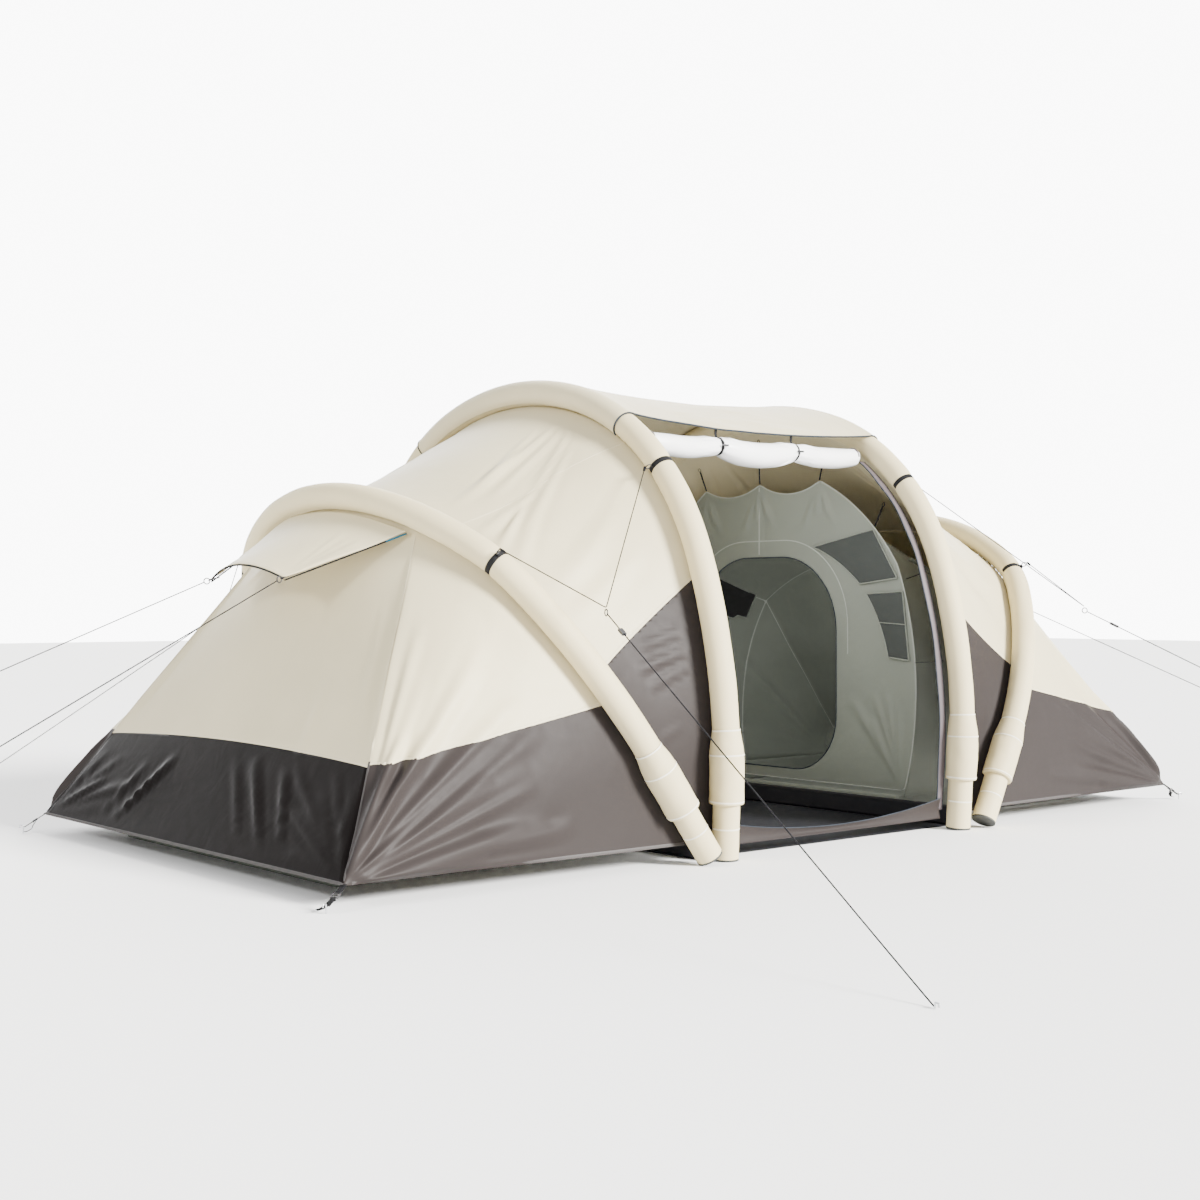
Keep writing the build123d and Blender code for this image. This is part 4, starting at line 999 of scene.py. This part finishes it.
for i, x in enumerate(roll_x):
    sag = (MIDDLE_SAG if abs(x) < TIE_X else SIDE_SAG) * drop[i]
    pleat = 0.0016 * (1 - fat[i]) * np.sin(9 * turns + 4 * x)
    wrap_step = 0.0022 * ((turns / (2 * pi) + 0.15 * np.sin(3 * x)) % 1)
    radius = base_radius[i] + pleat + wrap_step
    roll[i, :, 0] = x
    roll[i, :, 1] = ROLL_Y + np.cos(turns) * radius
    roll[i, :, 2] = ROLL_Z + np.sin(turns) * radius * 0.97 - sag
roll_normals = unit(np.stack([np.zeros_like(roll[..., 0]), roll[..., 1] - ROLL_Y, roll[..., 2] - ROLL_Z], -1))
roll_folds = []
for tie in (-TIE_X, TIE_X):
    for k in range(10):
        angle = 2 * pi * k / 10 + 0.2
        for way in (-1, 1):
            start = (tie + way * 0.012, ROLL_Y + 0.036 * cos(angle), ROLL_Z + 0.036 * sin(angle))
            end = (tie + way * (0.13 + 0.03 * (k % 3)), ROLL_Y + 0.052 * cos(angle + 0.15),
                   ROLL_Z - 0.008 + 0.052 * sin(angle + 0.15))
            roll_folds.append((start, end, 0.010, 0.0030))
roll = roll + roll_normals * (folds(roll, roll_folds) + ripple(roll, 9.0, 0.0022, 71))[..., None]
roll_faces = grid_faces(ROLL_STEPS, ROLL_AROUND, True)
roll_faces += [tuple(range(ROLL_AROUND))[::-1],
               tuple((ROLL_STEPS - 1) * ROLL_AROUND + j for j in range(ROLL_AROUND))]
door_roll = make("front_door_roll_cloth", [(roll.reshape(-1, 3), roll_faces)], silver)
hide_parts("front_door_roll")
end_caps = []
for side in (-1, 1):
    spine = [(side * (ROLL_END - 0.016), ROLL_Y, ROLL_Z), (side * (ROLL_END + 0.006), ROLL_Y, ROLL_Z + 0.001),
             (side * (ROLL_END + 0.016), ROLL_Y - 0.004, ROLL_Z + 0.003)]
    end_caps.append(tube(smooth_line(spine, 12), np.interp(np.linspace(0, 1, 12), [0, 0.3, 0.8, 1],
                                                          [0.046, 0.045, 0.037, 0.012]), 24))
make("roll_end_cloth", end_caps, mauve)
tie_parts = []
for side in (-1, 1):
    arc = np.linspace(radians(60), radians(420), 60)
    loop = np.stack([np.full(60, side * TIE_X), ROLL_Y + 0.0015 + 0.0440 * np.cos(arc),
                     ROLL_Z - 0.002 + 0.0425 * np.sin(arc)], 1)
    tie_parts.append(strap(loop, 0.020, 0.0018, (1, 0, 0)))
    hang = smooth_line([(side * TIE_X, ROLL_Y + 0.006, ROLL_Z + 0.042), (side * TIE_X, ROLL_Y + 0.012, 1.905),
                        (side * TIE_X, ROLL_Y + 0.010, 1.930)], 14)
    tie_parts.append(strap(hang, 0.018, 0.0018, (1, 0, 0)))
ties = make("roll_tie_webbing", tie_parts, black_web)
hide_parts("roll_ties")

# ---------------------------------------------------------------- hoods over the end vents
HOOD = np.array([2.320, 0.320, 1.210])
HOOD_RISE = 0.070
for side_name, side in SIDES:
    rows = arch_line(OUTER, 0.043, (70,), start=CREASE, stop=180 - CREASE)
    top = place(OUTER, side, rows, TUBE + 0.004)
    hem_up = unit(np.array([0.49 * side, 0, 0.87]))
    ys = np.linspace(HOOD[1], -HOOD[1], len(rows))
    arc = HOOD_RISE * (1 - (ys / HOOD[1]) ** 2)
    hem = np.stack([np.full(len(ys), side * HOOD[0]), ys, np.full(len(ys), HOOD[2])], 1)
    hem = hem + arc[:, None] * hem_up
    t = np.linspace(0, 1, 46)[None, :, None]
    hood = between(top, hem, t)
    normals = grid_normals(hood)
    held = (4 * t * (1 - t))[..., 0]
    hood_folds = []
    for face, seed in ((-1, 81), (1, 82)):
        ends = [(-1.97, face * -0.10, 1.50), (-1.93, face * 0.35, 1.46), (-1.90, face * 0.60, 1.42)]
        hood_folds += fan((-2.31, face * 0.315, 1.213), ends, 7, 0.024, 0.0062, seed, far=(0.5, 0.95))
    lift = folds(hood, mirrored(hood_folds, x=-side)) * held**0.3 - 0.010 * held
    lift = lift + ripple(hood, 4.0, 0.004, 83)
    hood = hood + normals * lift[..., None]
    skin = Skin(hood, grid_normals(hood))
    cover = make(f"{side_name}_hood_cloth", [as_part(hood)], cream,
                 thick=CLOTH_THICK)
    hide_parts(f"{side_name}_hood")
    hood_tape = seam_on(skin, hood[:, -3], 60, 0.010)
    hood_seam = make_tapes(f"{side_name}_hood_seam", [hood_tape], cream_tape)
HOOD_STEPS = 70
edge_parts, blue_parts = [], []
for side_name, side in SIDES:
    hem_up = unit(np.array([0.49 * side, 0, 0.87]))
    ys = np.linspace(HOOD[1], -HOOD[1], HOOD_STEPS)
    arc = HOOD_RISE * (1 - (ys / HOOD[1]) ** 2) - 0.004
    hem = np.stack([np.full(HOOD_STEPS, side * HOOD[0]), ys, np.full(HOOD_STEPS, HOOD[2])], 1)
    hem = hem + arc[:, None] * hem_up
    edge_parts.append(tube(hem, 0.0042, 8))
    for face in (-1, 1):
        high = arch_spot(OUTER, side, face, CREASE + 0.01, inset=0.056, shift=TUBE + 0.006)[0]
        low = np.array([side * (HOOD[0] - 0.004), face * (HOOD[1] + 0.006), HOOD[2] - 0.012])
        split = high + (low - high) * 0.17
        edge_parts.append(tube(spaced([split, low], 30), 0.0034, 8))
        blue_parts.append(tube(spaced([high, split], 8), 0.0036, 8))
        # webbing tab that holds the corner ring
        corner = np.array([side * HOOD[0], face * HOOD[1], HOOD[2]])
        tab = smooth_line([corner + [-side * 0.030, -face * 0.020, 0.006], corner,
                           corner + [side * 0.009, face * 0.001, -0.006]], 12)
        edge_parts.append(strap(tab, 0.022, 0.003, (0, 1, 0)))
hood_edges = make("hood_edge_cords", edge_parts + blue_parts, [black_web] * len(edge_parts)
                  + [blue_web] * len(blue_parts))
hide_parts("hood_bindings")

# ---------------------------------------------------------------- inner tents
ROOM_FLOOR = 0.130
ROOMS = ((0.903, 0.970, (1.035, 0.720), (0.860, 1.400), 1.700),
         (1.700, 0.985, (1.000, 0.560), (0.800, 1.120), 1.380),
         (2.430, 0.955, (0.9555, 0.200), (0.900, 0.290), 0.380))


def room_outline(station):
    """Foot, side arc, eave, roof arc, eave, side arc, foot, evenly numbered."""
    x, half, bulge, eave, top = station
    side_arc = [(half, ROOM_FLOOR - 0.018)] + arc_three((half, ROOM_FLOOR), bulge, eave, 40)[1:]
    roof_arc = arc_three(eave, (0.0001, top), (-eave[0], eave[1]), 61)[1:]
    return np.array(side_arc + roof_arc + [(-a, b) for a, b in side_arc[::-1]][1:])


room_lines = [room_outline(s) for s in ROOMS]
for side_name, side in SIDES:
    xs = np.concatenate([np.linspace(0.903, 1.700, 36), np.linspace(1.700, 2.430, 34)[1:]])
    room = np.zeros((len(xs), len(room_lines[0]), 3))
    for i, x in enumerate(xs):
        a, b = (0, 1) if x <= 1.700 else (1, 2)
        t = (x - ROOMS[a][0]) / (ROOMS[b][0] - ROOMS[a][0])
        line = room_lines[a] * (1 - t) + room_lines[b] * t
        room[i, :, 0] = side * x
        room[i, :, 1:] = line
        # the cloth hangs in slightly between its hanging points
        room[i, :, 2] -= 0.018 * (4 * t * (1 - t)) * np.clip((line[:, 1] - 0.4), 0, 1)
    normals = grid_normals(room, (side * 1.4, 0, 0.5))
    columns = np.linspace(0, 1, room.shape[1])
    gather = 0.0035 * np.sin(columns * 2 * pi * 17)[None, :] * np.exp(-((xs - 0.91) / 0.18) ** 2)[:, None]
    room_folds = fan((side * 2.42, -0.95, 0.14), [(side * 1.5, -0.98, 0.9), (side * 1.2, -1.0, 0.35)], 6,
                     0.04, 0.006, 91)
    room_folds += mirrored(room_folds, y=-1)
    lift = gather + folds(room, room_folds) + ripple(room, 3.2, 0.010, 92 + side)
    lift *= np.clip((2.42 - xs) / 0.1, 0, 1)[:, None]
    room = room + normals * lift[..., None]
    end_line = room[-1]
    steps = np.linspace(0, 1, 10)[:, None, None]
    base = end_line.copy()
    base[:, 2] = ROOM_FLOOR - 0.018
    end_wall = end_line[None] * (1 - steps) + base[None] * steps
    parts = [as_part(room), as_part(end_wall)]
    bedroom = make(f"{side_name}_bedroom_cloth", parts, inner, thick=0.001)
    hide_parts(f"{side_name}_bedroom")
    skin = Skin(room, -normals)
    seams = [seam_on(skin, room[:, 39], 60, 0.010), seam_on(skin, room[:, -40], 60, 0.010),
             seam_on(skin, room[35], 120, 0.010)]
    room_seams = make_tapes(f"{side_name}_bedroom_seams", seams, light_edge)
    # mesh window low in the back wall, with a light edge and its rolled cover
    net_parts, rim = [], []
    for face in (1, -1):
        u, w = np.meshgrid(np.linspace(1.14, 1.60, 20), np.linspace(1.02, 1.33, 14), indexing="ij")
        net = np.stack([side * u, face * np.full_like(u, 0.9), w], -1)
        for i in range(20):
            for j in range(14):
                nearest = skin.tree.find(net[i, j])[0]
                net[i, j] = (side * u[i, j], nearest[1] - face * 0.016, nearest[2])
        net_parts.append(as_part(net))
        border = np.concatenate([net[:, 0], net[-1], net[::-1, -1], net[0, ::-1]])
        rim.append(tube(spaced(border, 120), 0.005, 8, closed=True))
        roll_line = [net[0, -1] + [0, -face * 0.012, 0.026], net[10, -1] + [0, -face * 0.014, 0.022],
                     net[-1, -1] + [0, -face * 0.012, 0.026]]
        rim.append(tube(smooth_line(roll_line, 30), 0.013, 12))
    nets = make(f"{side_name}_window_nets", net_parts, window_net, thick=0.0008)
    rims = make(f"{side_name}_window_rims", rim, inner)

# partitions between the bedrooms and the living room, with a D-shaped doorway
PARTITION_X = 0.8975
wall_runs = [arc_three((-0.975, 0.144), (-1.048, 0.760), (-0.930, 1.300), 30),
             arc_three((-0.930, 1.300), (-0.770, 1.500), (-0.390, 1.760), 30),
             arc_three((-0.390, 1.760), (-0.165, 1.700), (0.060, 1.762), 30),
             arc_three((0.060, 1.762), (0.275, 1.700), (0.490, 1.745), 30),
             arc_three((0.490, 1.745), (0.790, 1.480), (0.930, 1.300), 30),
             arc_three((0.930, 1.300), (1.048, 0.760), (0.975, 0.144), 30),
             [(0.975 - 1.95 * k / 60, 0.144) for k in range(61)]]
door_runs = [arc_three((0.250, 0.200), (0.462, 0.288), (0.550, 0.500), 20),
             [(0.550, 0.500 + 0.455 * k / 20) for k in range(21)],
             arc_three((0.550, 0.955), (0.433, 1.238), (0.150, 1.355), 20),
             [(0.150 - 0.26 * k / 12, 1.355) for k in range(13)],
             arc_three((-0.110, 1.355), (-0.393, 1.238), (-0.510, 0.955), 20),
             [(-0.510, 0.955 - 0.455 * k / 20) for k in range(21)],
             arc_three((-0.510, 0.500), (-0.422, 0.288), (-0.210, 0.200), 20),
             [(-0.210 + 0.46 * k / 20, 0.200) for k in range(21)]]
DOOR_MIDDLE = np.array([0.02, 0.78])


def radius_at(runs, angles):
    """How far a closed outline is from the door's middle at each angle."""
    points = np.array([p for run in runs for p in run]) - DOOR_MIDDLE
    turn = np.arctan2(points[:, 1], points[:, 0]) % (2 * pi)
    order = np.argsort(turn)
    return np.interp(angles, turn[order], np.hypot(*points[order].T), period=2 * pi)


WALL_AROUND, WALL_ACROSS = 360, 40
wall_angles = np.linspace(0, 2 * pi, WALL_AROUND, endpoint=False)
rim_radius, hole_radius = radius_at(wall_runs, wall_angles), radius_at(door_runs, wall_angles)
for side_name, side in SIDES:
    t = np.linspace(0, 1, WALL_ACROSS)[None, :]
    reach = between(hole_radius, rim_radius, t)
    wall = np.zeros((WALL_AROUND, WALL_ACROSS, 3))
    wall[..., 0] = side * PARTITION_X
    wall[..., 1] = DOOR_MIDDLE[0] + np.cos(wall_angles)[:, None] * reach
    wall[..., 2] = DOOR_MIDDLE[1] + np.sin(wall_angles)[:, None] * reach
    x = side * PARTITION_X
    specs = fan((x, -0.95, 0.17), [(x, -0.60, 0.62), (x, -0.75, 0.80), (x, -0.98, 0.75)], 9,
                0.034, 0.0070, 101, far=(0.6, 1.0))
    specs += fan((x, 0.95, 0.17), [(x, 0.60, 0.62), (x, 0.75, 0.80)], 6, 0.034, 0.0060, 102, far=(0.6, 1.0))
    for hang_y, hang_z in ((-0.390, 1.755), (0.060, 1.757), (0.490, 1.74)):
        low_ends = [(x, hang_y - 0.16, hang_z - 0.30), (x, hang_y + 0.16, hang_z - 0.30)]
        specs += fan((x, hang_y, hang_z), low_ends, 5, 0.030, 0.0050, 103, far=(0.6, 1.0))
    lift = folds(wall, specs) + ripple(wall, 2.6, 0.008, 104 + side)
    lift += -0.0035 * np.exp(-((wall[..., 1] - 0.02) / 0.006) ** 2) * (wall[..., 2] > 1.36)
    lift = side * np.clip(lift + 0.001, -0.006, 0.012)
    wall[..., 0] -= lift * np.clip(t * 6, 0.1, 1) * np.clip((1 - t) * 8, 0.15, 1)
    last = (WALL_AROUND - 1) * WALL_ACROSS
    faces = grid_faces(WALL_AROUND, WALL_ACROSS)
    faces += [(last + j, last + j + 1, j + 1, j) for j in range(WALL_ACROSS - 1)]
    partition = make(f"{side_name}_partition_cloth", [(wall.reshape(-1, 3), faces)], inner,
                     thick=0.001)
    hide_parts(f"{side_name}_partition")
    zip_line = make(f"{side_name}_door_zip", [tube(spaced(wall[:, 0], 320, True), 0.0036, 8, closed=True)],
                    binding_cloth)
    facing = np.broadcast_to(np.array([-side, 0, 0.0]), (120, 3))
    seam_points = spaced([(x - side * 0.004, 0.06, 1.372), (x - side * 0.004, 0.060, 1.745)], 120)
    arch_points = [(x - side * 0.005, DOOR_MIDDLE[0] + cos(a) * r * 1.16, DOOR_MIDDLE[1] + sin(a) * r * 1.16)
                   for a, r in zip(wall_angles[5:176], hole_radius[5:176])]
    edge_points = spaced(wall[:, -1], 400, True)
    bare = [tape(seam_points, facing, 0.008), tape(spaced(arch_points, 120), facing, 0.006, 0.0006)]
    wall_edge = tube(edge_points, 0.0030, 8, closed=True)
    wall_seams = make_tapes(f"{side_name}_partition_seams", bare, light_edge)
    wall_rim = make(f"{side_name}_partition_rim", [wall_edge], light_edge)


def patch(top, bottom, columns=26, rows=18):
    """A grid between two chains of points."""
    top, bottom = spaced(top, columns), spaced(bottom, columns)
    t = np.linspace(0, 1, rows)[None, :, None]
    return between(top, bottom, t)


pocket_parts, pocket_edges = [], []
for side in (-1, 1):
    x = side * 0.8895

    def on_wall(points):
        return [(x, p[0], p[1]) for p in points]

    upper_curve = arc_three((-0.344, 1.405), (-0.520, 1.325), (-0.680, 1.203), 20)
    lower_curve = arc_three((-0.725, 1.152), (-0.815, 1.000), (-0.874, 0.824), 20)
    shapes = [patch(on_wall(upper_curve), on_wall([(-0.772, 1.487), (-0.935, 1.231)])),
              patch(on_wall(lower_curve), on_wall([(-0.970, 1.163), (-1.012, 0.809)]))]
    for pocket in shapes:
        u = np.linspace(0, 1, pocket.shape[0])[:, None]
        w = np.linspace(0, 1, pocket.shape[1])[None, :]
        full = 16 * u * (1 - u) * w * (1 - w)
        pocket[..., 0] -= side * (0.006 * full + 0.002 * full * np.sin(18 * u + 6 * w))
        pocket_parts.append(as_part(pocket))
        border = np.concatenate([pocket[:, 0], pocket[-1], pocket[::-1, -1], pocket[0, ::-1]])
        pocket_edges.append(tube(spaced(border, 160), 0.0042, 8, closed=True))
    low = shapes[1]
    middle = low[12] - np.array([side * 0.003, 0, 0])
    pocket_edges.append(tube(spaced(middle, 30), 0.003, 8))
pockets = make("pocket_cloth", pocket_parts, mesh, thick=0.0008)
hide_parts("organiser_pockets")
pocket_rims = make("pocket_rims", pocket_edges, inner)


# ---------------------------------------------------------------- floors
def tray(x0, x1, y0, y1, low, tall, open_front=False, seed=0):
    """A floor with upstands, as parts."""
    u, w = np.meshgrid(np.linspace(x0, x1, 60), np.linspace(y0, y1, 80), indexing="ij")
    bottom = np.stack([u, w, np.full_like(u, low)], -1)
    rim = np.minimum(np.minimum(u - x0, x1 - u), np.minimum(w - y0, y1 - w))
    bottom[..., 2] += abs(ripple(bottom, 3.0, 0.006, seed)) * np.clip(rim / 0.06, 0, 1)
    parts = [as_part(bottom)]
    walls = [((x0, y0), (x0, y1)), ((x1, y0), (x1, y1)), ((x0, y1), (x1, y1))]
    if not open_front:
        walls.append(((x0, y0), (x1, y0)))
    centre = np.array([(x0 + x1) / 2, (y0 + y1) / 2, 0])
    for a, b in walls:
        along = np.linspace(0, 1, 90)[:, None, None]
        up = np.linspace(0, 1, 9)[None, :, None]
        wall = np.array([*a, low]) * (1 - along) + np.array([*b, low]) * along
        wall = wall + up * np.array([0, 0, tall])
        way = unit(np.array([(a[0] + b[0]) / 2, (a[1] + b[1]) / 2, 0]) - centre)
        lean = -0.004 * up * (0.3 + 0.7 * (ripple(wall, 5.0, 1.0, seed + 3)[..., None] + 0.5))
        wall = wall + way * np.clip(lean, -0.012, 0)
        parts.append(as_part(wall))
    return parts


floor = make("living_floor_cloth", tray(-0.871, 0.871, -1.289, 1.289, 0.0012, 0.100, True, 111), ground,
             thick=0.001)
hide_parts("living_floor")
bedroom_trays = tray(-2.434, -0.889, -0.938, 0.938, 0.0012, 0.118, False, 112)
bedroom_trays += tray(0.889, 2.434, -0.938, 0.938, 0.0012, 0.118, False, 113)
bed_floors = make("bedroom_floor_cloth", bedroom_trays, inner, thick=0.001)
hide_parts("bedroom_floors")

# ---------------------------------------------------------------- straps that hang the inner tents
hanger_parts = []
for side in (-1, 1):
    x = side * PARTITION_X
    for y, z, far_y, far_z in ((-0.390, 1.764, -0.440, 1.925), (0.060, 1.766, 0.062, 2.020),
                               (0.490, 1.749, 0.545, 1.885), (-0.780, 1.502, -0.850, 1.625),
                               (0.800, 1.482, 0.870, 1.600), (-0.985, 1.225, -1.125, 1.262),
                               (0.985, 1.225, 1.125, 1.262),
                               (-1.048, 0.800, -1.235, 0.812), (1.048, 0.800, 1.235, 0.812)):
        a, b = np.array([x, y, z]), np.array([x - side * 0.008, far_y, far_z])
        hanger_parts.append(strap(spaced([a, a + (b - a) * 0.80], 16), 0.011, 0.002, (1, 0, 0)))
        hook_a, hook_b = a + (b - a) * 0.80, a + (b - a) * 0.97
        way, turn = unit(b - a), unit(np.cross(b - a, (1, 0, 0)))
        loop = [hook_a, hook_a + way * 0.012 + turn * 0.008, hook_b - way * 0.006 + turn * 0.006, hook_b,
                hook_b - way * 0.006 - turn * 0.006, hook_a + way * 0.012 - turn * 0.008]
        hanger_parts.append(tube(smooth_line(loop, 40, True), 0.0018, 8, closed=True))
hangers = make("hang_strap_webbing", hanger_parts, black_web)
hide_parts("hang_straps")

# ---------------------------------------------------------------- webbing round the beams, D-rings, bridles
GUY_RING = np.array([1.600, 1.570, 1.065])
RING_REACH = 0.0155
band_parts, ring_parts, bridle_lines, knot_parts = [], [], [], []
for side_name, side in SIDES:
    for face_name, face in FACES:
        guy_ring = GUY_RING * [side, face, 1]
        knots = []
        for kind, arch in BEAMS:
            spot, heading, out, away = arch_spot(arch, side, face, STRAP_TURN[kind])
            arc = np.linspace(radians(-32), radians(212), 50)
            ring = spot + (TUBE - 0.0025) * (np.cos(arc)[:, None] * out + np.sin(arc)[:, None] * away)
            band_parts.append(strap(ring, 0.026, 0.0022, heading))
            pull = guy_ring - spot
            pull = unit(pull - heading * (pull @ heading))
            eye = spot + pull * (TUBE + 0.0045 + RING_REACH)
            turn = np.linspace(0, 2 * pi, 32, endpoint=False)
            across = np.cross(heading, pull)
            loop = eye + 0.013 * (np.cos(turn)[:, None] * pull + np.sin(turn)[:, None] * across)
            ring_parts.append(tube(loop, 0.0025, 8, closed=True))
            tab = smooth_line([spot + pull * (TUBE - 0.002) + heading * 0.010, spot + pull * (TUBE + 0.008),
                               spot + pull * (TUBE - 0.002) - heading * 0.010], 16)
            band_parts.append(strap(tab, 0.016, 0.0018, across))
            knots.append(eye + pull * (RING_REACH + 0.003))
            coil = np.linspace(0, 2 * pi * 4, 60)
            towards = unit(guy_ring - knots[-1])
            side_way = unit(np.cross(towards, (0, 0, 1)))
            up_way = np.cross(side_way, towards)
            helix = knots[-1] + towards * (0.004 + 0.0011 * coil[:, None]) + 0.0042 * (
                np.cos(coil)[:, None] * side_way + np.sin(coil)[:, None] * up_way)
            knot_parts.append(tube(helix, 0.0019, 6))
        apex = guy_ring + [0, 0, RING_REACH + 0.0035]
        bridle_lines.append((knots[0], apex, knots[1]))
beam_bands = make("beam_strap_webbing", band_parts + ring_parts, [black_web] * len(band_parts)
                  + [plastic] * len(ring_parts))
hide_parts("beam_straps")
bridle_parts = []
for a, b, c in bridle_lines:
    near_a, near_c = b + unit(a - b) * 0.012, b + unit(c - b) * 0.012
    bend = [near_a * (1 - t) ** 2 + 2 * b * t * (1 - t) + near_c * t**2 for t in np.linspace(0, 1, 9)]
    rope = np.concatenate([spaced([a, near_a], 30)[:-1], bend, spaced([near_c, c], 30)[1:]])
    bridle_parts.append(tube(rope, 0.0024, 8))
bridles = make("guy_bridle_ropes", bridle_parts + knot_parts, black_braid)
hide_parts("guy_bridles")

# ---------------------------------------------------------------- corner straps and their ladder-locks
CORNER_STAKE = np.array([2.755, 1.400, 0.024])
strap_parts, lock_parts = [], []
for side in (-1, 1):
    for face in (-1, 1):
        corner = CORNER * [side, face, 1]
        neck = CORNER_STAKE * [side, face, 1]
        way = unit(neck - corner)
        across = unit(np.cross(way, (0, 0, 1)))
        up = np.cross(across, way)
        up = up if up[2] > 0 else -up
        for run in ([corner - way * 0.010, corner + way * 0.014, corner + way * 0.041],
                    [corner + way * 0.060, corner + way * 0.075, neck - way * 0.006]):
            strap_parts.append(strap(smooth_line(run, 14), 0.025, 0.002, across))
        start = corner + way * 0.052 - np.array([0, 0, 0.010])
        tail = [start + [side * x, -face * y, -z] for x, y, z in (
            (0, 0, 0), (0.012, 0.010, 0.010), (0.024, 0.020, 0.024), (0.042, 0.024, 0.034),
            (0.062, 0.026, 0.038))]
        strap_parts.append(strap(smooth_line(tail, 24), 0.021, 0.0018, across))
        for offset in (-0.0150, 0.0150):
            rail = [corner + way * 0.039 + across * offset, corner + way * 0.065 + across * offset]
            lock_parts.append(strap(spaced(rail, 8), 0.0036, 0.006, across))
        for reach, lift in ((0.0405, 0.0), (0.052, 0.0014), (0.0635, 0.0)):
            middle = corner + way * reach + up * lift
            bar = [middle - across * 0.0155, middle + across * 0.0155]
            lock_parts.append(tube(spaced(bar, 8), 0.0018, 8))
corner_webbing = make("corner_strap_webbing", strap_parts, black_web)
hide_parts("corner_straps")
locks = make("ladder_locks", lock_parts, plastic)
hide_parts("corner_buckles")

# ---------------------------------------------------------------- CAD pieces that stay, finished materials
kept = {"foot_caps": rubber, "valve_bases": rubber, "door_zip_slider": plastic, "guy_rings": plastic,
        "ground_pegs": steel}
for side_name, side in SIDES:
    kept[f"{side_name}_toggle"] = plastic
    for kind, arch in BEAMS:
        kept[f"{side_name}_{kind}_valve_cap"] = rubber
    for face_name, face in FACES:
        kept[f"{face_name}_{side_name}_tensioner"] = plastic
for name, material in kept.items():
    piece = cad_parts[name]
    if not piece.material_slots:
        piece.data.materials.append(material)
    for some_slot in piece.material_slots:
        some_slot.link = "OBJECT"
        some_slot.material = material

# ---------------------------------------------------------------- floor, light and close
floor_points = [(-40, -40, 0), (40, -40, 0), (40, 40, 0), (-40, 40, 0)]
stage_data = bpy.data.meshes.new("studio_floor")
stage_data.from_pydata([(x, y, -0.0005) for x, y, _ in floor_points], [], [(0, 1, 2, 3)])
stage_floor = bpy.data.objects.new("studio_floor", stage_data)
scene.collection.objects.link(stage_floor)
floor_material, _, floor_shader = new_material("studio_floor")
floor_shader.inputs["Base Color"].default_value = (0.97, 0.97, 0.97, 1)
floor_shader.inputs["Roughness"].default_value = 0.9
floor_shader.inputs["Specular IOR Level"].default_value = 0.1
stage_data.materials.append(floor_material)
stage_floor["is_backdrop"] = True

# soft light all round, and a bright white wall far behind the tent
world = bpy.data.worlds.new("studio")
world.use_nodes = True
sky = world.node_tree
heading = node(sky, "ShaderNodeTexCoord").outputs["Generated"]
facing = node(sky, "ShaderNodeVectorMath", {0: heading, 1: (0.643, 0.766, 0.0)}, operation="DOT_PRODUCT")
wall = node(sky, "ShaderNodeMapRange", {"Value": facing.outputs["Value"], "From Min": 0.62, "From Max": 0.86,
                                        "To Min": 1.15, "To Max": 10.0})
sky.links.new(wall.outputs[0], sky.nodes["Background"].inputs["Strength"])
sky.nodes["Background"].inputs["Color"].default_value = (1.0, 1.0, 1.0, 1)
scene.world = world


def lamp(name, kind, energy, spot, aim, size=1.0, colour=(1, 1, 1)):
    data = bpy.data.lights.new(name, kind)
    data.energy = energy
    data.color = colour
    if kind == "AREA":
        data.shape = "DISK"
        data.size = size
    else:
        data.angle = size
    light = bpy.data.objects.new(name, data)
    light.location = spot
    light.rotation_euler = (Vector(aim) - Vector(spot)).to_track_quat("-Z", "Y").to_euler()
    scene.collection.objects.link(light)


lamp("key", "SUN", 17.0, (3, -8, 4.6), (0, 0, 0.8), radians(16), (1.0, 0.985, 0.95))
lamp("left_strip", "AREA", 260, (-8.5, -0.5, 4.0), (-2.4, 0, 0.5), 1.2)
lamp("room_fill", "AREA", 16.0, (-0.1, -0.7, 1.70), (0.7, 0.1, 0.6), 0.7)
lamp("bedroom_fill", "AREA", 7.0, (1.20, -0.45, 1.10), (1.9, 0.3, 0.2), 0.5)

low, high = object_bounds()
{"cad": [list(cad_box[0]), list(cad_box[1])], "visual": [list(low), list(high)]}
